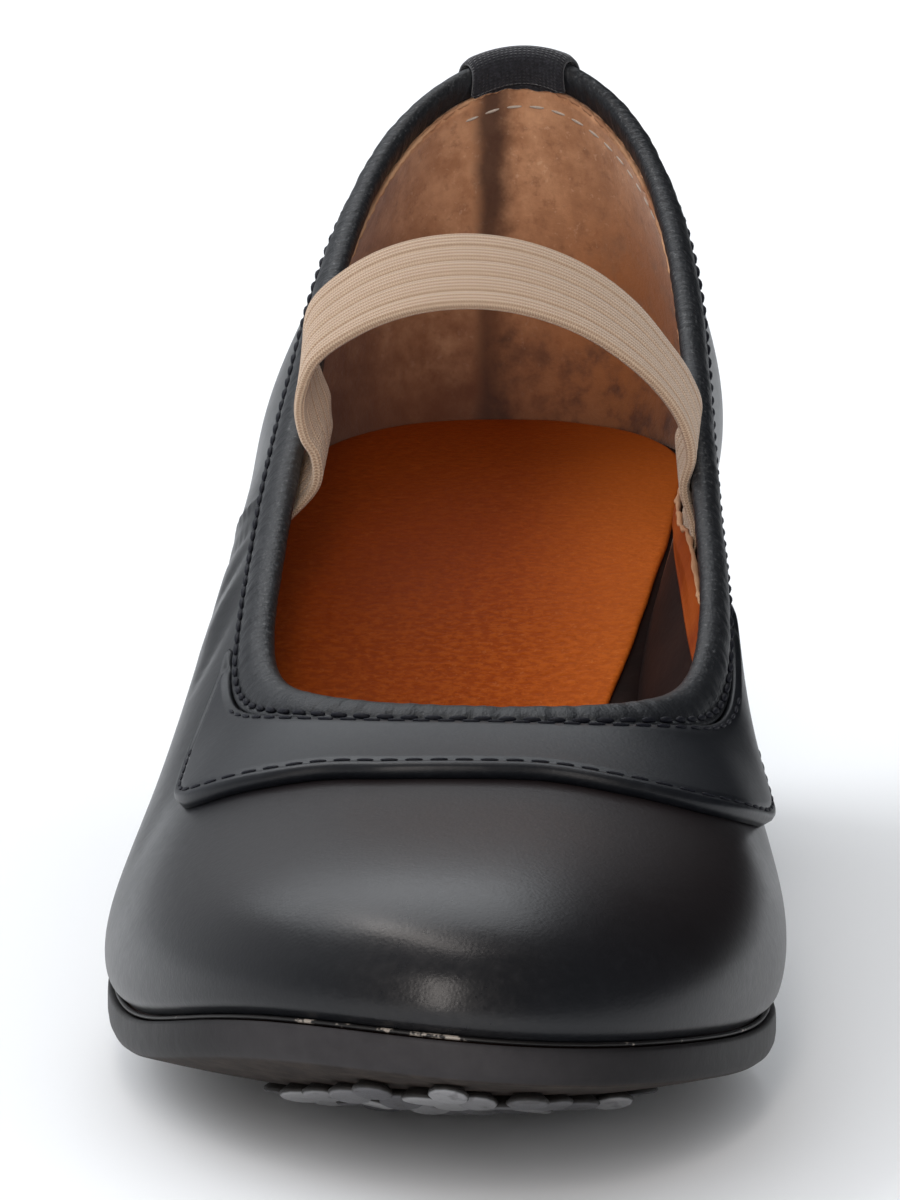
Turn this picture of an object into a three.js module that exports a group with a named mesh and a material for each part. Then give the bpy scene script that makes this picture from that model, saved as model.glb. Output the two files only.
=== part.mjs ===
// Flamenco shoe for a right foot, in millimetres, standing on its heel and on the nails under the ball.
// +Z is up, the toe points to -Y, the heel to +Y, and the inner (arch) side of the foot is +X.

import * as THREE from 'three';

// Driving sizes
const SOLE_LENGTH = 236;
const BALL_WIDTH = 79;
const HEEL_RISE = 41;
const TOE_SPRING = 14.5;
const BALL_CAMBER = 4.5;
const TOE_CAMBER = 8.5;
const TOE_ROLL = 14;
const COLLAR_HEIGHT = 51;
const SOLE_THICKNESS = 4.3;
const SOLE_MARGIN = 0.5;
const SOLE_EDGE_ROUND = 0.9;
const INSOLE_THICKNESS = 2;
const WALL = 1.6;
const OVERLAY_THICKNESS = 1.6;
const BINDING_OUTER_LEG = 5;
const BINDING_INNER_LEG = 3.2;
const BINDING_THICKNESS = 1;
const BINDING_INNER_THICKNESS = 0.6;
const TAB_WIDTH = 14;
const TAB_OUTER_LEG = 12;
const TAB_INNER_LEG = 2.6;
const TAB_THICKNESS = 0.8;
const STRAP_THICKNESS = 1.4;
const STRAP_ARCH = 24;
const STRAP_TAIL = 13;
const NAIL_HEIGHT = 1.3;
const NAIL_FIELD_LENGTH = 84;
const NAIL_FIELD_WIDTH = 42;
const NAIL_FIELD_INWARD = 3;
const FOREFOOT_FLAT = 0.35;
const TOP_PIECE_HEIGHT = 6;
const HEEL_INSET = 0.6;
const CLEARANCE = 0.3;

// Where things are, as shares of the shoe's length from the toe tip (0) to the back (1)
const HEEL_BREAST = 0.73;
const NAIL_FIELD_MIDDLE = 0.21;
const CAMBER_FADE_START = 0.4;
const CAMBER_FADE_END = 0.75;


// How finely curved pieces are divided
const AROUND = 84;
const UP_THE_WALL = 11;
const ALONG_PLATE = 42;
const ALONG_NAILS = 18;
const HEEL_AROUND = 29;
const ALONG_STRAP = 44;
const ACROSS_TAB = 6;
const SETTLING_SWEEPS = 40;
const SMALL_STEP = 0.01;

// The underside seen from the side, one row for each twelfth of the length, toe to back
const SOLE_PROFILE = table(['toeShare', 'heelShare'], [
  [1.00, 0.000],
  [0.55, 0.000],
  [0.20, 0.000],
  [0.03, 0.000],
  [0.00, 0.005],
  [0.00, 0.100],
  [0.00, 0.290],
  [0.00, 0.520],
  [0.00, 0.740],
  [0.00, 0.880],
  [0.00, 0.960],
  [0.00, 0.990],
  [0.00, 1.000],
]);

// The last: 18 ribs run up the wall, from the toe round the outer side, the back and the inner side.
// footAcross and topAcross are shares of the ball width, footAlong and topAlong of the length, and
// topHigh is a share of the collar height over the sole. Each rib leaves the sole leaning out by
// flare degrees and reaches the topline leaning in by lean degrees. lowReach and highReach are how
// far each of those directions holds, as shares of the straight line from foot to top.
const RIBS = table(
  ['footAcross', 'footAlong', 'flare', 'lowReach', 'topAcross', 'topAlong', 'topHigh', 'lean', 'highReach'],
  [
    [0.060, 0.009, 10, 0.26, 0.055, 0.345, 0.66, 76, 0.36],
    [-0.205, 0.048, 10, 0.26, -0.090, 0.350, 0.66, 72, 0.35],
    [-0.400, 0.150, 20, 0.22, -0.215, 0.375, 0.64, 60, 0.33],
    [-0.492, 0.300, 25, 0.21, -0.290, 0.440, 0.57, 38, 0.29],
    [-0.465, 0.440, 18, 0.25, -0.300, 0.520, 0.53, 32, 0.30],
    [-0.390, 0.590, 26, 0.36, -0.290, 0.620, 0.46, 34, 0.38],
    [-0.345, 0.730, 30, 0.36, -0.265, 0.740, 0.48, 32, 0.38],
    [-0.325, 0.860, 24, 0.36, -0.225, 0.860, 0.64, 26, 0.36],
    [-0.180, 0.961, 16, 0.34, -0.130, 0.950, 0.86, 18, 0.36],
    [0.045, 0.987, 14, 0.34, 0.048, 0.978, 0.98, 14, 0.36],
    [0.260, 0.958, 14, 0.34, 0.215, 0.950, 0.88, 16, 0.36],
    [0.375, 0.860, 18, 0.36, 0.310, 0.860, 0.66, 20, 0.36],
    [0.335, 0.730, 13, 0.36, 0.350, 0.740, 0.48, 18, 0.34],
    [0.285, 0.575, 18, 0.34, 0.372, 0.620, 0.46, 18, 0.34],
    [0.360, 0.420, 16, 0.28, 0.388, 0.520, 0.53, 18, 0.30],
    [0.480, 0.275, 26, 0.22, 0.372, 0.435, 0.57, 28, 0.27],
    [0.425, 0.125, 20, 0.22, 0.300, 0.370, 0.64, 56, 0.33],
    [0.275, 0.036, 10, 0.26, 0.190, 0.347, 0.66, 72, 0.35],
  ],
);
const LOOP = RIBS.length;
const BACK_RIB = LOOP / 2;

// The band round the throat: how far it reaches down the wall, as a share of the collar height, at
// places counted in ribs from the toe, positive toward the outer side.
const THROAT_BAND = table(['rib', 'reach'], [
  [-4.30, 0.120],
  [-4.00, 0.165],
  [-3.60, 0.260],
  [-3.25, 0.370],
  [-3.05, 0.435],
  [-2.75, 0.460],
  [-2.30, 0.475],
  [-1.70, 0.515],
  [-1.20, 0.480],
  [-0.60, 0.435],
  [0.00, 0.440],
  [0.70, 0.440],
  [1.15, 0.425],
  [1.60, 0.450],
  [2.05, 0.475],
  [2.32, 0.450],
  [2.55, 0.375],
  [3.05, 0.240],
  [3.43, 0.145],
  [3.64, 0.120],
]);

// The strap's front and rear edges as they cross from the outer side's leg (across 0) to the inner
// side's leg (across 1). The heights are shares of the strap's arch, over the topline at that edge.
const STRAP = table(['frontAcross', 'frontHigh', 'rearAcross', 'rearHigh'], [
  [0.000, 0.12, 0.000, 0.09],
  [-0.030, 0.22, 0.000, 0.17],
  [-0.045, 0.36, -0.025, 0.29],
  [-0.035, 0.48, -0.050, 0.45],
  [0.000, 0.62, -0.035, 0.65],
  [0.120, 0.78, 0.060, 0.82],
  [0.257, 0.88, 0.200, 0.95],
  [0.400, 0.92, 0.380, 1.01],
  [0.560, 0.90, 0.560, 0.98],
  [0.740, 0.79, 0.740, 0.86],
  [0.880, 0.62, 0.880, 0.68],
  [0.975, 0.41, 0.975, 0.44],
  [1.000, 0.17, 1.000, 0.13],
]);

// The ribs beside which the strap's edges go down into the shoe
const STRAP_RIBS = { outerFront: 5.05, outerRear: 5.5, innerFront: 12.95, innerRear: 12.5 };

// The heel block narrows downward: shares of the seat's width and length at each share of its drop
const HEEL_TAPER = table(['down', 'wide', 'long'], [
  [0.00, 1.000, 1.000],
  [0.15, 0.955, 0.972],
  [0.35, 0.905, 0.940],
  [0.60, 0.860, 0.905],
  [0.82, 0.835, 0.885],
  [1.00, 0.830, 0.875],
]);

function table(columns, rows) {
  return rows.map((row) => Object.fromEntries(columns.map((name, i) => [name, row[i]])));
}

// Slopes of the smoothest cubic through equally spaced values, settled by sweeping over them
function smoothSlopes(values, closed) {
  const count = values.length;
  const slopes = values.map(() => 0);
  for (let sweep = 0; sweep < SETTLING_SWEEPS; sweep += 1) {
    for (let i = 0; i < count; i += 1) {
      const before = closed ? (i + count - 1) % count : Math.max(i - 1, 0);
      const after = closed ? (i + 1) % count : Math.min(i + 1, count - 1);
      const climb = 3 * (values[after] - values[before]);
      const isEnd = !closed && (i === 0 || i === count - 1);
      const neighbours = isEnd ? slopes[i === 0 ? 1 : count - 2] : slopes[before] + slopes[after];
      slopes[i] = (climb - neighbours) / (isEnd ? 2 : 4);
    }
  }
  return slopes;
}

// All columns of a table as smooth functions of the row number
function smoothTable(rows, closed) {
  const count = rows.length;
  const columns = Object.keys(rows[0]).map((name) => {
    const values = rows.map((row) => row[name]);
    return { name, values, slopes: smoothSlopes(values, closed) };
  });
  return (position) => {
    const at = closed ? ((position % count) + count) % count : THREE.MathUtils.clamp(position, 0, count - 1);
    const from = closed ? Math.floor(at) : Math.min(Math.floor(at), count - 2);
    const to = (from + 1) % count;
    const u = at - from;
    const blend = {
      start: (1 + 2 * u) * (1 - u) ** 2,
      startSlope: u * (1 - u) ** 2,
      end: u * u * (3 - 2 * u),
      endSlope: u * u * (u - 1),
    };
    return Object.fromEntries(columns.map(({ name, values, slopes }) => [
      name,
      values[from] * blend.start + slopes[from] * blend.startSlope
        + values[to] * blend.end + slopes[to] * blend.endSlope,
    ]));
  };
}

const soleProfile = smoothTable(SOLE_PROFILE, false);
const ribAt = smoothTable(RIBS, true);

// Height of the sole's underside. The forepart is cambered from side to side, more so toward the toe,
// where the camber's middle moves to the inner side and the outer corner of the toe lifts.
function undersideHeight(x, y) {
  const along = THREE.MathUtils.clamp(y / SOLE_LENGTH + 0.5, 0, 1);
  const row = soleProfile(along * (SOLE_PROFILE.length - 1));
  const fade = 1 - THREE.MathUtils.smoothstep(along, CAMBER_FADE_START, CAMBER_FADE_END);
  const fromMiddle = (x - TOE_ROLL * row.toeShare) / (BALL_WIDTH / 2);
  const camber = THREE.MathUtils.lerp(BALL_CAMBER, TOE_CAMBER, row.toeShare) * fromMiddle ** 2 * fade;
  return NAIL_HEIGHT + row.toeShare * TOE_SPRING + row.heelShare * HEEL_RISE + camber;
}

function soleTopHeight(x, y) {
  return undersideHeight(x, y) + SOLE_THICKNESS;
}

function lengthwise(share) {
  return (share - 0.5) * SOLE_LENGTH;
}

// The line where the upper's outer face meets the sole
function footPoint(rib) {
  const row = ribAt(rib);
  const x = row.footAcross * BALL_WIDTH;
  const y = lengthwise(row.footAlong);
  return new THREE.Vector3(x, y, soleTopHeight(x, y) + CLEARANCE);
}

// The upper's top edge
function topPoint(rib) {
  const row = ribAt(rib);
  const x = row.topAcross * BALL_WIDTH;
  const y = lengthwise(row.topAlong);
  return new THREE.Vector3(x, y, soleTopHeight(0, y) + row.topHigh * COLLAR_HEIGHT);
}

// The level direction that points out of a loop seen from above
function outward(loop, rib) {
  const travel = loop(rib + SMALL_STEP).sub(loop(rib - SMALL_STEP));
  return new THREE.Vector3(-travel.y, travel.x, 0).normalize();
}

function leaning(out, degrees) {
  const angle = THREE.MathUtils.degToRad(degrees);
  return out.clone().multiplyScalar(Math.sin(angle)).setZ(Math.cos(angle));
}

// A rib of the last as a curve from foot to topline, kept so that each place is worked out once
const ribCurves = new Map();
function ribCurve(rib) {
  const key = rib.toFixed(4);
  if (!ribCurves.has(key)) {
    const row = ribAt(rib);
    const foot = footPoint(rib);
    const top = topPoint(rib);
    const span = foot.distanceTo(top);
    const low = leaning(outward(footPoint, rib), row.flare).multiplyScalar(span * row.lowReach);
    const high = leaning(outward(topPoint, rib).negate(), row.lean).multiplyScalar(span * row.highReach);
    ribCurves.set(key, new THREE.CubicBezierCurve3(foot, low.add(foot), top.clone().sub(high), top));
  }
  return ribCurves.get(key);
}

// A point of the upper's outer face, rise 0 at the sole and 1 at the topline
function wallPoint(rib, rise) {
  return ribCurve(rib).getPoint(rise);
}

function wallUp(rib, rise) {
  return wallPoint(rib, rise + SMALL_STEP).sub(wallPoint(rib, rise - SMALL_STEP)).normalize();
}

function wallNormal(rib, rise) {
  const travel = wallPoint(rib + SMALL_STEP, rise).sub(wallPoint(rib - SMALL_STEP, rise));
  return wallUp(rib, rise).cross(travel).normalize();
}

// The rise that lies a given way down the wall from the topline
function riseAtDrop(rib, drop) {
  const steps = 48;
  let walked = 0;
  let from = wallPoint(rib, 1);
  for (let i = 1; i <= steps; i += 1) {
    const to = wallPoint(rib, 1 - i / steps);
    const stretch = from.distanceTo(to);
    if (walked + stretch >= drop) {
      return 1 - (i - 1 + (drop - walked) / stretch) / steps;
    }
    walked += stretch;
    from = to;
  }
  return 0;
}

// A point given by how far it lies below the topline and how far it stands off the outer face.
// Above the topline, where drop is negative, the wall's own direction is carried on.
function wallAt(rib, drop, stand) {
  const rise = drop > 0 ? riseAtDrop(rib, drop) : 1;
  const point = wallPoint(rib, rise).addScaledVector(wallNormal(rib, rise), stand);
  return drop < 0 ? point.addScaledVector(wallUp(rib, 1), -drop) : point;
}

// A closed surface from points and triangles, turned so that its faces point outward
function closedGeometry(points, triangles) {
  let volume = 0;
  for (const [a, b, c] of triangles) {
    volume += points[a].dot(points[b].clone().cross(points[c]));
  }
  const outwardFaces = volume > 0 ? triangles : triangles.map(([a, b, c]) => [a, c, b]);
  const geometry = new THREE.BufferGeometry();
  geometry.setAttribute('position', new THREE.Float32BufferAttribute(points.flatMap((p) => p.toArray()), 3));
  geometry.setIndex(outwardFaces.flat());
  geometry.computeVertexNormals();
  return geometry;
}

function quad(a, b, c, d) {
  return [[a, b, c], [a, c, d]];
}

// Triangles between two rings of point numbers
function belt(ringA, ringB) {
  return ringA.flatMap((_, i) => {
    const next = (i + 1) % ringA.length;
    return quad(ringA[i], ringA[next], ringB[next], ringB[i]);
  });
}

// Sections of equal point count joined one to the next, closed into a ring or ended flat
function sweptGeometry(sections, isRing) {
  const size = sections[0].length;
  const points = sections.flat();
  const ring = (i) => sections[0].map((_, j) => (i % sections.length) * size + j);
  const triangles = [];
  for (let i = 0; i < sections.length - (isRing ? 0 : 1); i += 1) {
    triangles.push(...belt(ring(i), ring(i + 1)));
  }
  if (!isRing) {
    triangles.push(...ladder(ring(0)).map(([a, b, c]) => [a, c, b]), ...ladder(ring(sections.length - 1)));
  }
  return closedGeometry(points, triangles);
}

// A ring filled by rungs that join each of its points to the one opposite
function ladder(ring) {
  const triangles = [];
  const last = ring.length - 1;
  for (let i = 0; i < (last - 1) / 2; i += 1) {
    const corners = [ring[i], ring[i + 1], ring[last - i - 1], ring[last - i]];
    if (corners[1] === corners[2]) {
      triangles.push([corners[0], corners[1], corners[3]]);
    } else {
      triangles.push(...quad(...corners));
    }
  }
  return triangles;
}

// A plate over an outline that starts at the toe and runs round the outer side. Its two skins are
// grids of cross rows, and a third ring at half height rounds its edge.
function plateGeometry({ outline, top, bottom, edgeRound, rows, columns }) {
  const points = [];
  const add = (x, y, z) => points.push(new THREE.Vector3(x, y, z)) - 1;

  const skin = (inset, heightAt) => {
    const grid = [];
    for (let i = 0; i <= rows; i += 1) {
      const outer = outline(i / rows / 2, inset);
      const inner = outline(1 - i / rows / 2, inset);
      const isTip = i === 0 || i === rows;
      const places = isTip ? [0] : Array.from({ length: columns + 1 }, (_, j) => j / columns);
      grid.push(places.map((share) => {
        const place = outer.clone().lerp(inner, share);
        return add(place.x, place.y, heightAt(place.x, place.y));
      }));
    }
    return grid;
  };

  const rim = (grid) => [
    ...grid.map((row) => row[0]),
    ...grid.slice(1, -1).reverse().map((row) => row[row.length - 1]),
  ];

  const skinTriangles = (grid) => grid.slice(1).flatMap((row, i) => {
    const before = grid[i];
    const cells = Math.max(row.length, before.length) - 1;
    return Array.from({ length: cells }, (_, j) => {
      if (before.length === 1) return [[before[0], row[j + 1], row[j]]];
      if (row.length === 1) return [[before[j], before[j + 1], row[0]]];
      return quad(before[j], before[j + 1], row[j + 1], row[j]);
    }).flat();
  });

  const upperSkin = skin(edgeRound / 2, top);
  const lowerSkin = skin(edgeRound, bottom);
  const upperRim = rim(upperSkin);
  const middleRim = upperRim.map((_, i) => {
    const place = outline(i / upperRim.length, 0);
    return add(place.x, place.y, (top(place.x, place.y) + bottom(place.x, place.y)) / 2);
  });
  const flip = ([a, b, c]) => [a, c, b];
  return closedGeometry(points, [
    ...skinTriangles(upperSkin),
    ...belt(upperRim, middleRim),
    ...belt(middleRim, rim(lowerSkin)),
    ...skinTriangles(lowerSkin).map(flip),
  ]);
}

// The foot line moved out by a margin, as a function of the share of the loop that has been run
function footOutline(margin) {
  return (share, inset) => {
    const rib = share * LOOP;
    return footPoint(rib).addScaledVector(outward(footPoint, rib), margin - inset);
  };
}

// Outsole: a plate of even thickness with toe spring, cambered forepart, arch and raised heel seat
function outsoleGeometry() {
  return plateGeometry({
    outline: footOutline(SOLE_MARGIN),
    top: soleTopHeight,
    bottom: undersideHeight,
    edgeRound: SOLE_EDGE_ROUND,
    rows: ALONG_PLATE,
    columns: 6,
  });
}

// Insole: lies on the outsole, inside the upper's foot
function insoleGeometry() {
  return plateGeometry({
    outline: footOutline(-WALL - CLEARANCE),
    top: (x, y) => soleTopHeight(x, y) + CLEARANCE + INSOLE_THICKNESS,
    bottom: (x, y) => soleTopHeight(x, y) + CLEARANCE,
    edgeRound: INSOLE_THICKNESS / 4,
    rows: ALONG_PLATE,
    columns: 4,
  });
}

// The nail heads under the forepart, joined into one rounded field, worn flat where it meets the floor
function toeNailGeometry() {
  const outline = (share, inset) => {
    const angle = share * Math.PI * 2;
    const round = (value) => Math.sign(value) * Math.abs(value) ** 0.8;
    return new THREE.Vector3(
      NAIL_FIELD_INWARD - round(Math.sin(angle)) * (NAIL_FIELD_WIDTH / 2 - inset),
      lengthwise(NAIL_FIELD_MIDDLE) - round(Math.cos(angle)) * (NAIL_FIELD_LENGTH / 2 - inset),
      0,
    );
  };
  return plateGeometry({
    outline,
    top: (x, y) => undersideHeight(x, y) - CLEARANCE,
    bottom: (x, y) => Math.max(undersideHeight(x, y) - NAIL_HEIGHT - FOREFOOT_FLAT, 0),
    edgeRound: NAIL_HEIGHT / 2,
    rows: ALONG_NAILS,
    columns: 8,
  });
}

// The heel's outline at one level, from the breast round the back to the breast again
function heelRing(level, heightAt) {
  const breast = lengthwise(HEEL_BREAST);
  const middle = ribAt(BACK_RIB).footAcross * BALL_WIDTH;
  const outline = footOutline(SOLE_MARGIN - HEEL_INSET);
  const firstRib = ribWhere(HEEL_BREAST, 0, BACK_RIB);
  const lastRib = ribWhere(HEEL_BREAST, LOOP, BACK_RIB);
  return Array.from({ length: HEEL_AROUND }, (_, i) => {
    const rib = THREE.MathUtils.lerp(firstRib, lastRib, i / (HEEL_AROUND - 1));
    const seat = outline(rib / LOOP, 0);
    const x = middle + (seat.x - middle) * level.wide;
    const y = breast + (seat.y - breast) * level.long;
    const seatHeight = undersideHeight(seat.x, seat.y) - CLEARANCE;
    return new THREE.Vector3(x, y, heightAt(level.down, seatHeight));
  });
}

// The rib between two others whose foot lies at a given share of the length
function ribWhere(share, from, to) {
  let low = from;
  let high = to;
  for (let halving = 0; halving < 30; halving += 1) {
    const middle = (low + high) / 2;
    if (ribAt(middle).footAlong < share) {
      low = middle;
    } else {
      high = middle;
    }
  }
  return low;
}

function heelBlockGeometry() {
  const foot = TOP_PIECE_HEIGHT + CLEARANCE;
  const heightAt = (down, seatHeight) => THREE.MathUtils.lerp(seatHeight, foot, down);
  return sweptGeometry(HEEL_TAPER.map((level) => heelRing(level, heightAt)), false);
}

// Top piece: the flat lift that carries the heel on the floor
function heelTopPieceGeometry() {
  const lowest = HEEL_TAPER[HEEL_TAPER.length - 1];
  const heights = [TOP_PIECE_HEIGHT, 0];
  return sweptGeometry(heights.map((height) => heelRing(lowest, () => height)), false);
}

// Upper: one hollow leather shell, open round the topline and underneath
function upperGeometry() {
  const sections = Array.from({ length: AROUND }, (_, i) => {
    const rib = (i / AROUND) * LOOP;
    const rises = Array.from({ length: UP_THE_WALL + 1 }, (__, j) => j / UP_THE_WALL);
    const outer = rises.map((rise) => wallPoint(rib, rise));
    const inner = rises.map((rise) => wallPoint(rib, rise).addScaledVector(wallNormal(rib, rise), -WALL));
    inner[0].z = soleTopHeight(inner[0].x, inner[0].y) + CLEARANCE;
    return [...outer, ...inner.reverse()];
  });
  return sweptGeometry(sections, true);
}

// Topline binding: a leather strip folded over the upper's edge, down both faces
function bindingGeometry() {
  const inside = -WALL - CLEARANCE;
  const outerFace = CLEARANCE + BINDING_THICKNESS;
  const innerFace = inside - BINDING_INNER_THICKNESS;
  const crown = CLEARANCE + BINDING_THICKNESS;
  const profile = [
    [BINDING_OUTER_LEG, CLEARANCE],
    [BINDING_OUTER_LEG, outerFace - BINDING_THICKNESS * 0.2],
    [BINDING_OUTER_LEG * 0.7, outerFace + BINDING_THICKNESS * 0.2],
    [BINDING_OUTER_LEG * 0.25, outerFace + BINDING_THICKNESS * 0.3],
    [-crown * 0.6, outerFace * 0.6],
    [-crown * 1.1, -WALL / 2],
    [-crown * 0.6, innerFace * 0.86],
    [BINDING_INNER_LEG * 0.25, innerFace],
    [BINDING_INNER_LEG, innerFace + BINDING_INNER_THICKNESS * 0.2],
    [BINDING_INNER_LEG, inside],
    [-CLEARANCE, inside],
    [-CLEARANCE, CLEARANCE],
  ];
  const sections = Array.from({ length: AROUND }, (_, i) => (
    profile.map(([drop, stand]) => wallAt((i / AROUND) * LOOP, drop, stand))
  ));
  return sweptGeometry(sections, true);
}

// Back tab: a textile strip folded over the binding at the middle of the back
function backTabGeometry() {
  const over = CLEARANCE * 2 + BINDING_THICKNESS * 1.5;
  const under = -WALL - CLEARANCE * 2 - BINDING_INNER_THICKNESS;
  const inner = [
    [TAB_OUTER_LEG, CLEARANCE],
    [BINDING_OUTER_LEG + 1.4, CLEARANCE],
    [BINDING_OUTER_LEG + CLEARANCE, over - BINDING_THICKNESS * 0.3],
    [BINDING_OUTER_LEG * 0.25, over],
    [-CLEARANCE - BINDING_THICKNESS, over * 0.7],
    [-CLEARANCE * 3 - BINDING_THICKNESS * 1.1, -WALL / 2],
    [-CLEARANCE - BINDING_THICKNESS, under * 0.92],
    [BINDING_INNER_LEG * 0.25, under],
    [TAB_INNER_LEG, under],
  ];
  const spread = TAB_THICKNESS;
  const outer = [
    [TAB_OUTER_LEG, CLEARANCE + spread],
    [BINDING_OUTER_LEG + 1.6, CLEARANCE + spread],
    [BINDING_OUTER_LEG + CLEARANCE, over + spread * 0.8],
    [BINDING_OUTER_LEG * 0.25, over + spread],
    [-CLEARANCE - BINDING_THICKNESS - spread * 0.6, over * 0.7 + spread * 0.6],
    [-CLEARANCE * 3 - BINDING_THICKNESS * 1.1 - spread, -WALL / 2],
    [-CLEARANCE - BINDING_THICKNESS - spread * 0.6, under * 0.92 - spread * 0.6],
    [BINDING_INNER_LEG * 0.25, under - spread],
    [TAB_INNER_LEG, under - spread],
  ];
  const profile = [...inner, ...outer.reverse()];
  const ribLength = topPoint(BACK_RIB - 0.5).distanceTo(topPoint(BACK_RIB + 0.5));
  const halfWidth = TAB_WIDTH / 2 / ribLength;
  const sections = Array.from({ length: ACROSS_TAB + 1 }, (_, i) => {
    const rib = BACK_RIB + THREE.MathUtils.lerp(-halfWidth, halfWidth, i / ACROSS_TAB);
    return profile.map(([drop, stand]) => wallAt(rib, drop, stand));
  });
  return sweptGeometry(sections, false);
}

// How far the throat band reaches down the wall at a rib
function bandReach(rib) {
  const after = THROAT_BAND.findIndex((row) => row.rib >= rib);
  if (after <= 0) return THROAT_BAND[0].reach * COLLAR_HEIGHT;
  const from = THROAT_BAND[after - 1];
  const to = THROAT_BAND[after];
  const before = THROAT_BAND[Math.max(after - 2, 0)];
  const beyond = THROAT_BAND[Math.min(after + 1, THROAT_BAND.length - 1)];
  const span = to.rib - from.rib;
  const u = (rib - from.rib) / span;
  const startSlope = ((to.reach - before.reach) / (to.rib - before.rib)) * span;
  const endSlope = ((beyond.reach - from.reach) / (beyond.rib - from.rib)) * span;
  const reach = from.reach * (1 + 2 * u) * (1 - u) ** 2 + startSlope * u * (1 - u) ** 2
    + to.reach * u * u * (3 - 2 * u) + endSlope * u * u * (u - 1);
  return reach * COLLAR_HEIGHT;
}

// Throat overlay: a thick leather band laid over the vamp, its upper edge against the binding
function throatOverlayGeometry() {
  const ribStep = LOOP / AROUND;
  const first = Math.round(THROAT_BAND[0].rib / ribStep);
  const last = Math.round(THROAT_BAND[THROAT_BAND.length - 1].rib / ribStep);
  const top = BINDING_OUTER_LEG + CLEARANCE;
  const low = CLEARANCE;
  const high = CLEARANCE + OVERLAY_THICKNESS;
  const sections = [];
  for (let i = first; i <= last; i += 1) {
    const rib = i * ribStep;
    const depth = bandReach(rib) - top;
    const down = (share) => top + depth * share;
    sections.push([
      wallAt(rib, down(0), low),
      wallAt(rib, down(0.25), low),
      wallAt(rib, down(0.5), low),
      wallAt(rib, down(0.75), low),
      wallAt(rib, down(1), low),
      wallAt(rib, down(1), low + OVERLAY_THICKNESS * 0.75),
      wallAt(rib, down(0.96), high),
      wallAt(rib, down(0.7), high),
      wallAt(rib, down(0.4), high),
      wallAt(rib, down(0), low + OVERLAY_THICKNESS * 0.8),
    ]);
  }
  return sweptGeometry(sections, false);
}

// Elastic strap: a band over the instep whose tails go down inside both quarters
function strapGeometry() {
  const stand = -WALL - CLEARANCE * 2 - BINDING_INNER_THICKNESS - STRAP_THICKNESS / 2;
  const edge = (outerRib, innerRib, across, high) => {
    const base = (topPoint(outerRib).z + topPoint(innerRib).z) / 2;
    const tail = [STRAP_TAIL, STRAP_TAIL / 2, -BINDING_THICKNESS - CLEARANCE * 2];
    const outerLeg = tail.map((drop) => wallAt(outerRib, drop, stand));
    const innerLeg = tail.map((drop) => wallAt(innerRib, drop, stand)).reverse();
    const arch = STRAP.map((row) => {
      const place = outerLeg[2].clone().lerp(innerLeg[0], row[across]);
      return place.setZ(base + row[high] * STRAP_ARCH);
    });
    return new THREE.CatmullRomCurve3([...outerLeg, ...arch, ...innerLeg], false, 'centripetal');
  };
  const front = edge(STRAP_RIBS.outerFront, STRAP_RIBS.innerFront, 'frontAcross', 'frontHigh');
  const rear = edge(STRAP_RIBS.outerRear, STRAP_RIBS.innerRear, 'rearAcross', 'rearHigh');
  const half = STRAP_THICKNESS / 2;
  const upperFace = [[0, 0.6], [0.06, 1], [0.5, 1], [0.94, 1], [1, 0.6]];
  const profile = [...upperFace, ...upperFace.map(([share, side]) => [share, -side]).reverse()];
  const sections = Array.from({ length: ALONG_STRAP + 1 }, (_, i) => {
    const u = i / ALONG_STRAP;
    const across = rear.getPoint(u).sub(front.getPoint(u));
    const travel = front.getTangent(u).add(rear.getTangent(u));
    const face = travel.cross(across).normalize();
    return profile.map(([share, side]) => (
      front.getPoint(u).addScaledVector(across, share).addScaledVector(face, side * half)
    ));
  });
  return sweptGeometry(sections, false);
}

function leather(color, roughness) {
  return new THREE.MeshStandardMaterial({ color, roughness, metalness: 0 });
}

const blackLeather = leather(0x2b2c30, 0.42);
const soleEdgeBlack = leather(0x1f1f21, 0.4);
const orangeLeather = leather(0xa8501f, 0.6);
const beigeElastic = leather(0xcdb596, 0.85);
const blackTextile = leather(0x1b1b1d, 0.9);
const blackRubber = leather(0x1a1a1a, 0.7);
const steel = new THREE.MeshStandardMaterial({ color: 0xb9bcc0, roughness: 0.35, metalness: 1 });

const PIECES = [
  ['outsole', outsoleGeometry, soleEdgeBlack],
  ['toe_nails', toeNailGeometry, steel],
  ['heel_block', heelBlockGeometry, blackLeather],
  ['heel_top_piece', heelTopPieceGeometry, blackRubber],
  ['insole', insoleGeometry, orangeLeather],
  ['upper', upperGeometry, blackLeather],
  ['throat_overlay', throatOverlayGeometry, blackLeather],
  ['topline_binding', bindingGeometry, blackLeather],
  ['back_tab', backTabGeometry, blackTextile],
  ['elastic_strap', strapGeometry, beigeElastic],
];

const shoe = new THREE.Group();
for (const [name, makeGeometry, material] of PIECES) {
  const mesh = new THREE.Mesh(makeGeometry(), material);
  mesh.name = name;
  shoe.add(mesh);
}

export default shoe;
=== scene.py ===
# %% [markdown]
# # A flamenco shoe for the right foot
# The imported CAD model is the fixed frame. Each visible piece is built over it from the same named
# sizes: the CAD gives the place and the outer form, and this script gives the skin, the seams and
# the finishes. Sizes are in millimetres until a mesh is made, and Blender's unit is the metre.
# +Z is up, the toe points to -Y and the inner side of the foot is +X.

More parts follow.
